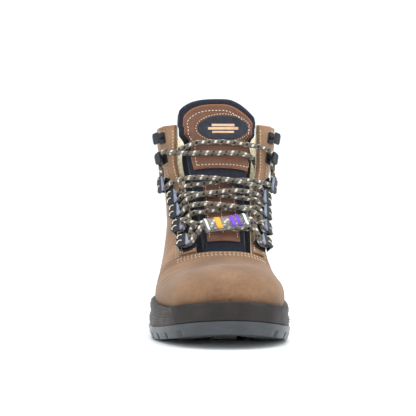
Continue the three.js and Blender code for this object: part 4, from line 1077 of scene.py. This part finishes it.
POST = [(-1.6 + 1.4 * math.cos(t * math.pi / 8), 1.4 * math.sin(t * math.pi / 8)) for t in range(16)]
HOOK_LIP = ((4.45, -3.6), (4.75, -3.2), (4.75, 3.2), (4.45, 3.6), (3.7, 3.6), (3.7, -3.6))


def hook_piece(label, side, row, name):
    """Base plate, post and top plate with an outer lip coloured blue-grey as a painted highlight; open on the
    outer side.
    """
    bm = bmesh.new()
    bm.loops.layers.uv.new("UVMap")
    outline_plate(bm, hook_outline(4.4, 5, 1.6), 0, PLATE, 0.3)
    outline_plate(bm, hook_outline(4.4, 5, 1.7), TALL - PLATE, TALL, 0.45)
    outline_plate(bm, POST, PLATE - 0.1, TALL - PLATE + 0.1, 0)
    # The outer lip takes material 1, a blue-grey painted highlight on the black plastic.
    outline_plate(bm, HOOK_LIP, TALL - PLATE - 0.1, TALL + 0.15, 0.15, 1)
    put(bm, row, side)
    piece(name, bm, (BLACK_PLASTIC, BLUE_GREY_PAINTED_HIGHLIGHT), "boot", f"speed_hook_{row - 4}_{label}", slot="hardware",
          flat=True)


for label, side in SIDES:
    for row, (_, _, kind) in enumerate(ROWS):
        if kind == "hook":
            hook_piece(label, side, row, f"{label} speed hook {row - 4}")
        else:
            title = "ankle loop" if kind == "ankle" else f"lace loop {row + 1}"
            loop_piece(label, side, row, f"{label} {title}")


# ------------------------------------------------------------------ lace, tips and tag
ROUTE = [Vector(p) for p in (
    (-36.8, 87.0, 111.2), (-38.9, 71.7, 123.6), (-39.4, 57.2, 134.8), (-38.5, 52.0, 141.0),
    (-36.3, 48.0, 146.3), (-34.2, 44.3, 151.1), (-32.1, 40.6, 152.2), (-29.0, 37.6, 151.9),
    (-29.4, 33.2, 152.4), (-29.3, 27.3, 153.1), (-26.6, 22.3, 153.9), (-18.6, 19.2, 157.3),
    (-5.6, 19.2, 158.2), (5.0, 19.5, 158.2), (16.0, 20.5, 157.3), (27.4, 23.3, 155.6),
    (41.7, 30.4, 152.7), (46.5, 36.8, 149.7), (48.1, 39.6, 148.5), (49.1, 41.4, 146.4),
    (49.1, 41.5, 143.5), (48.6, 40.4, 140.3), (48.9, 41.8, 127.6), (48.0, 38.9, 120.2),
    (47.3, 37.0, 118.1), (46.3, 34.2, 118.1), (45.1, 31.3, 119.3), (45.9, 31.1, 121.1),
    (36.4, 18.4, 124.0), (23.7, 11.6, 125.5), (6.2, 7.3, 124.9), (-10.5, 6.5, 122.6),
    (-26.2, 9.4, 120.7), (-33.1, 13.1, 115.5), (-35.6, 15.0, 114.1), (-37.4, 16.0, 112.0),
    (-38.1, 15.1, 109.3), (-37.2, 13.0, 107.5), (-35.2, 10.8, 107.7), (-32.8, 8.9, 109.1),
    (-27.1, 5.9, 113.7), (-13.7, 1.8, 114.1), (-2.8, 0.1, 113.7), (7.5, -0.7, 112.6),
    (18.5, -0.1, 111.1), (32.5, 4.7, 108.8), (37.4, 7.9, 103.4), (39.3, 10.0, 101.6),
    (40.9, 11.1, 99.3), (41.5, 10.1, 96.6), (40.9, 7.6, 95.1), (39.3, 5.2, 95.6),
    (37.4, 3.0, 97.4), (33.4, 0.3, 102.2), (20.1, -6.3, 102.8), (9.8, -8.9, 102.3),
    (0.1, -10.3, 101.1), (-9.9, -10.8, 99.5), (-22.1, -9.6, 97.8), (-27.8, -10.3, 91.4),
    (-30.6, -8.9, 90.1), (-33.0, -8.6, 88.3), (-34.0, -10.0, 86.0), (-33.2, -12.4, 84.5),
    (-31.0, -14.4, 84.7), (-28.2, -15.8, 85.9), (-29.6, -17.1, 92.9), (-23.9, -22.4, 91.4),
    (-17.3, -25.4, 89.6), (-10.5, -23.1, 86.4), (2.9, -24.3, 86.6), (14.9, -24.1, 85.9),
    (29.2, -21.1, 85.2), (34.0, -22.9, 78.8), (36.6, -21.2, 77.2), (38.8, -20.8, 75.3),
    (39.9, -22.4, 73.1), (39.4, -25.1, 71.9), (37.5, -27.2, 72.5), (34.9, -28.8, 74.0),
    (30.9, -30.5, 83.7), (26.9, -27.4, 93.5), (13.5, -29.3, 91.6), (0.1, -31.1, 89.8),
    (-13.3, -33.0, 88.0), (-17.0, -33.5, 83.0), (-20.7, -33.8, 78.0), (-23.9, -33.0, 73.8),
    (-27.0, -32.1, 72.8), (-29.5, -30.5, 72.8), (-30.5, -28.1, 74.2), (-29.4, -26.3, 76.2),
    (-26.8, -26.2, 77.7), (-23.7, -27.1, 78.7), (-21.9, -21.7, 85.7), (-17.1, -20.5, 89.0),
    (-11.5, -19.5, 91.0), (-6.0, -19.4, 91.1), (7.0, -19.1, 91.8), (19.2, -17.1, 91.6),
    (34.0, -9.9, 90.7), (37.4, -9.0, 85.5), (39.3, -7.0, 83.6), (40.8, -4.6, 82.9),
    (41.3, -2.0, 84.2), (40.5, -0.7, 86.7), (38.9, -1.6, 89.1), (37.0, -3.6, 91.0),
    (32.8, -5.7, 97.2), (20.1, -13.4, 102.5), (8.6, -13.9, 104.5), (-2.0, -12.9, 105.7),
    (-13.2, -10.8, 106.1), (-25.2, -3.7, 103.4), (-30.5, -2.0, 97.8), (-33.2, -0.3, 96.4),
    (-35.3, 1.8, 96.2), (-36.1, 4.0, 97.9), (-35.3, 5.2, 100.4), (-33.2, 4.6, 102.4),
    (-30.5, 2.9, 103.8), (-25.1, 1.1, 109.8), (-12.9, -4.5, 114.1), (-1.6, -4.8, 115.7),
    (9.0, -3.9, 116.7), (20.6, -1.5, 116.7), (33.2, 7.9, 113.6), (37.5, 11.9, 108.8),
    (39.4, 14.2, 107.3), (41.0, 16.6, 107.0), (41.7, 18.9, 108.8), (41.1, 19.6, 111.6),
    (39.5, 18.4, 113.8), (37.6, 16.1, 115.3), (36.9, 16.0, 119.0), (27.6, 7.9, 122.1),
    (15.1, 2.4, 125.1), (-3.3, 2.8, 127.4), (-22.7, 7.1, 127.8), (-38.1, 19.9, 123.6),
    (-43.3, 28.4, 119.7), (-44.8, 31.2, 118.4), (-46.0, 33.8, 118.5), (-46.7, 35.7, 120.6),
    (-47.4, 38.7, 128.0), (-48.6, 40.6, 140.3), (-49.2, 41.6, 143.5), (-49.2, 41.5, 146.4),
    (-48.2, 39.7, 148.5), (-46.6, 36.9, 149.7), (-41.9, 30.2, 149.5), (-27.6, 21.8, 148.6),
    (-16.1, 18.4, 148.8), (-5.0, 17.1, 148.8), (5.7, 16.8, 148.6), (18.8, 17.1, 148.5),
    (26.7, 20.5, 146.1), (29.3, 25.7, 145.2), (29.3, 31.6, 144.2), (28.7, 36.0, 143.7),
    (31.8, 39.3, 144.0), (33.0, 40.4, 140.1), (35.4, 43.7, 135.1), (36.9, 47.7, 129.4),
    (37.4, 52.6, 122.9), (37.0, 68.1, 109.7), (34.9, 84.8, 95.0),
)]


def lace_line(step=1.15):
    """The lace's course, thinned to even steps."""
    fine = [along(ROUTE, i / 8) for i in range(8 * (len(ROUTE) - 1) + 1)]
    line = [fine[0]]
    for p in fine[1:]:
        if (p - line[-1]).length >= step:
            line.append(p)
    return line


FLECK_PITCH = 10.7
LACE_LINE = lace_line()
piece("lace cord", tube(LACE_LINE, LACE, 20, FLECK_PITCH), LACE_CORD, "boot", "lace", slot="lace_cord")

for label, end, nearby in (("lateral", LACE_LINE[0], LACE_LINE[3]), ("medial", LACE_LINE[-1], LACE_LINE[-4])):
    low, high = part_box(f"aglet_{label}")
    centre = (Vector(low) + Vector(high)) / (2 * MM)
    direction = (centre - end).normalized()
    start = end + direction * 0.6
    tip = [start + direction * (20 * i / 24) for i in range(25)]
    piece(f"{label} lace tip", tube(tip, 2.25, 16, 5.0), BLACK_PLASTIC, "boot", f"aglet_{label}", slot="aglet")

TAG_ALONG = Vector((0.982, 0.1352, 0.1319)).normalized()
TAG_UP = Vector((-0.1889, 0.7030, 0.6857)).normalized()
TAG_OUT = Vector((0, -0.6983, 0.7158)).normalized()


def tag_point(x, angle, grow):
    half, deep = 6.5 + grow, 3.1 + grow
    c, s = math.cos(angle), math.sin(angle)
    up = half * abs(c) ** 0.48 * (1 if c > 0 else -1)
    out = deep * abs(s) ** 0.52 * (1 if s > 0 else -1)
    return TAG_ORIGIN + TAG_ALONG * x + TAG_UP * up + TAG_OUT * out


TAG_LOW, TAG_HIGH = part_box("lace_tag")
TAG_ORIGIN = (Vector(TAG_LOW) + Vector(TAG_HIGH)) / (2 * MM)


def tag_sleeve():
    def point(a, b):
        turn = 2 * math.pi * b
        if a <= 0.5:
            return tag_point(mix(-19, 19, a * 2), turn, 0)
        return tag_point(mix(19, -19, a * 2 - 1), turn, -0.5)
    bm = grid(60, 40, point)
    bmesh.ops.remove_doubles(bm, verts=bm.verts, dist=2e-6)
    bmesh.ops.bridge_loops(bm, edges=[e for e in bm.edges if e.is_boundary])
    bmesh.ops.recalc_face_normals(bm, faces=bm.faces)
    piece("clear tag sleeve", bm, CLEAR, "tag", "lace_tag", slot="clear_plastic")


tag_sleeve()
# The two pale bands near the sleeve's ends are painted highlight on the clear film; the orange and purple bands
# are print.
for name, colour, low, high in (("left pale band", TAG_END_PAINTED_HIGHLIGHT, -17.6, -16.0), ("right pale band", TAG_END_PAINTED_HIGHLIGHT, 14.6, 16.4),
                                ("orange band", ORANGE, -9.5, -5.0), ("purple band", PURPLE, 3.0, 6.0),
                                ("second purple band", PURPLE, 8.0, 10.5)):
    def band(a, b, low=low, high=high):
        angle = math.pi * mix(0.10, 0.90, b)
        lean = 2.2 * (b - 0.5)
        return tag_point(mix(low, high, a) + lean, angle, 0.06)
    strip = grid(3, 20, band)
    face_outward(strip)
    obj = piece(name, strip, colour, "tag")
    film = obj.modifiers.new("print", "SOLIDIFY")
    film.thickness = 0.12 * MM
    film.offset = -1


# ------------------------------------------------------------------ stitching
def stitches(name, body, paths, pitch=2.9, length=2.3, radius=0.34):
    bm = bmesh.new()
    for path in paths:
        stitch_row(bm, path, pitch, length, radius)
    return piece(name, bm, THREAD, body)


def tongue_path(place, lift, count=60):
    path = []
    for i in range(count + 1):
        u, v = place(i / count)
        path.append((on_tongue(u, v, lift), skin_normal(u, v)))
    return path


def overlay_ring(t):
    place = overlay_place(-3.6)
    t = t % 1 * 4
    if t < 1:
        return place(0, t)
    if t < 2:
        return place(t - 1, 1)
    if t < 3:
        return place(1, 3 - t)
    return place(4 - t, 0)


stitches("tongue leather stitching", "tongue", [tongue_path(overlay_ring, 2.55, 200)], 3.0, 2.3, 0.36)


def badge_ring(t):
    angle = 2 * math.pi * t
    x = 5 + 22.6 * math.sin(angle)
    z = BADGE_Z - 12.2 * math.cos(angle)
    return front_place(z, abs(x), 1 if x > 0 else -1)


stitches("badge stitching", "tongue", [tongue_path(badge_ring, 2.55, 120)], 2.4, 1.7, 0.34)


def strip_edge(side):
    def place(t):
        u = mix(9.95, 13.4, t)
        return u, front_v(u, 11.3, side)
    return place


stitches("strip stitching", "tongue",
         [tongue_path(strip_edge(-1), 2.45), tongue_path(strip_edge(1), 2.45),
          tongue_path(lambda t: (mix(10.2, 13.4, t), 0.5), 2.45)], 2.8, 2.0, 0.32)

for label, side in SIDES:
    whole = side_place(side, 0, COLLAR)
    stitches(f"{label} eyestay stitching", "boot",
             [skin_path(lambda t: whole(mix(0.02, 0.97, t), 12 / 14 + 0.012), 2.05, 140),
              skin_path(lambda t: whole(mix(0.02, 0.97, t), 12 / 14 + 0.03), 2.05, 140),
              skin_path(lambda t: whole(mix(0.02, 0.97, t), 0.987), 2.05, 140)], 2.8, 2.1, 0.32)
    stitches(f"{label} collar stitching", "boot",
             [skin_path(lambda t: (18.65, 0.5 + side * mix(0.15, 0.44, t)), 0.55, 120),
              skin_path(lambda t: (16.5, 0.5 + side * mix(0.15, 0.44, t)), 0.35, 120)], 2.9, 2.1, 0.32)
    stitches(f"{label} facing stitching", "boot",
             [skin_path(lambda t: whole(mix(0.0, 0.66, t), 12 / 14 - shift), 0.1, 120)
              for shift in (0.022, 0.045)], 2.9, 2.2, 0.32)
    stitches(f"{label} ankle stitching", "boot",
             [skin_path(lambda t: whole(mix(0.56, 0.66, t), 12 / 14 - mix(0.30, 0.05, t)), 0.3, 60)],
             3.6, 2.8, 0.36)
    stitches(f"{label} backstay stitching", "boot",
             [skin_path(lambda t: (backstay_place(mix(0.03, 0.97, t), 0.5)[0],
                                   side * abs(backstay_place(mix(0.03, 0.97, t), 0.06)[1])), 2.05, 80)],
             2.8, 2.1, 0.32)


def throat_zigzag():
    """Two rows of slanted stitches across the foot of the throat."""
    bm = bmesh.new()
    count = 25
    for k in range(count):
        v = mix(0.5 - 0.125, 0.5 + 0.125, k / (count - 1))
        for shift, lean in ((0.13, 1), (0.34, -1)):
            a = on_skin(vamp_end(v) - shift - 0.07, v - 0.0022 * lean, 0.1)
            b = on_skin(vamp_end(v) - shift + 0.07, v + 0.0022 * lean, 0.1)
            normal = skin_normal(vamp_end(v) - shift, v)
            stitch_row(bm, [(a, normal), (b, normal)], (b - a).length * 1.01, (b - a).length, 0.26)
    piece("throat lock stitching", bm, THREAD, "boot")


throat_zigzag()


# ------------------------------------------------------------------ inside
FOOTBED_TOP = 8.7
FOOTBED_DEPTH = 3.6


def footbed_top(a, b):
    y = -math.cos(math.pi * clamp(a)) * 138
    return (mix(sole_edge(y, -1, 12), sole_edge(y, 1, 12), b), y, foot_line(y) + FOOTBED_TOP)


def footbed_under(a, b):
    x, y, z = footbed_top(a, b)
    rim = math.sqrt(clamp(8 * min(a, 1 - a, b, 1 - b)))
    return (x, y, z - FOOTBED_DEPTH * rim)


piece("cushioned footbed", shell(70, 30, footbed_top, footbed_under), FOOTBED_CLOTH, "boot",
                "footbed", slot="footbed_foam")

for node, finish in (("steel_shank", STEEL), ("steel_toe_cap", STEEL), ("bottom_filler", CORK),
                     ("insole_board", BOARD), ("heel_counter", STIFFENER), ("vamp_lining", LINING_MESH)):
    obj = bpy.data.objects[node]
    obj.data.materials.clear()
    obj.data.materials.append(finish)


# ------------------------------------------------------------------ floor, light and camera
def backdrop():
    def point(a, b):
        x = mix(-2600, 2600, b)
        t = a * 60
        if t < 40:
            return (x, mix(-2600, 1400, t / 40), -0.4)
        turn = (t - 40) / 20 * math.pi / 2
        return (x, 1400 + 900 * math.sin(turn), -0.4 + 900 * (1 - math.cos(turn)))
    bm = grid(60, 2, point)
    if sum(f.normal.z for f in bm.faces) < 0:
        bmesh.ops.reverse_faces(bm, faces=bm.faces)
    mesh = bpy.data.meshes.new("floor")
    bm.normal_update()
    bm.to_mesh(mesh)
    bm.free()
    mesh.shade_smooth()
    floor = bpy.data.objects.new("floor", mesh)
    bpy.context.scene.collection.objects.link(floor)
    f = Finish("pale floor", 0.45)
    f.colour(f.ramp(f.noise(3, 2), (0.3, (0.86, 0.895, 0.91)), (0.7, (0.88, 0.91, 0.925))))
    floor.data.materials.append(f.material)


backdrop()

world = bpy.data.worlds.new("studio")
bpy.context.scene.world = world
world.use_nodes = True
world.node_tree.nodes["Background"].inputs["Color"].default_value = (0.97, 0.985, 1.0, 1)
world.node_tree.nodes["Background"].inputs["Strength"].default_value = 1.0


def lamp(name, place, size, watts, colour=(1, 1, 1)):
    light = bpy.data.lights.new(name, "AREA")
    light.shape = "RECTANGLE"
    light.size, light.size_y = size
    light.energy = watts
    light.color = colour
    obj = bpy.data.objects.new(name, light)
    obj.location = place
    obj.rotation_euler = (Vector((0, 0, 0.08)) - Vector(place)).to_track_quat("-Z", "Y").to_euler()
    bpy.context.scene.collection.objects.link(obj)


lamp("overhead softbox", (0.1, -0.3, 1.5), (1.6, 1.2), 20)
lamp("left softbox", (-1.3, -0.8, 0.7), (0.9, 1.1), 9, (0.96, 0.98, 1.0))
lamp("right softbox", (1.3, -0.8, 0.7), (0.9, 1.1), 9, (0.96, 0.98, 1.0))
lamp("front fill", (0.0, -1.9, 0.5), (1.2, 0.8), 5)

AZIMUTH, ELEVATION, DISTANCE = math.radians(1.0), math.radians(1.5), 1.152
TARGET = Vector((-0.0107, -0.148, 0.1062))
camera = bpy.data.cameras.new("camera")
camera.lens = DISTANCE * 36 / 0.310
camera.sensor_width = 36
eye = bpy.data.objects.new("camera", camera)
eye.location = TARGET + DISTANCE * Vector((-math.sin(AZIMUTH) * math.cos(ELEVATION),
                                           -math.cos(AZIMUTH) * math.cos(ELEVATION), math.sin(ELEVATION)))
eye.rotation_euler = (TARGET - eye.location).to_track_quat("-Z", "Y").to_euler()
bpy.context.scene.collection.objects.link(eye)
bpy.context.scene.camera = eye
bpy.context.scene.view_settings.view_transform = "Standard"
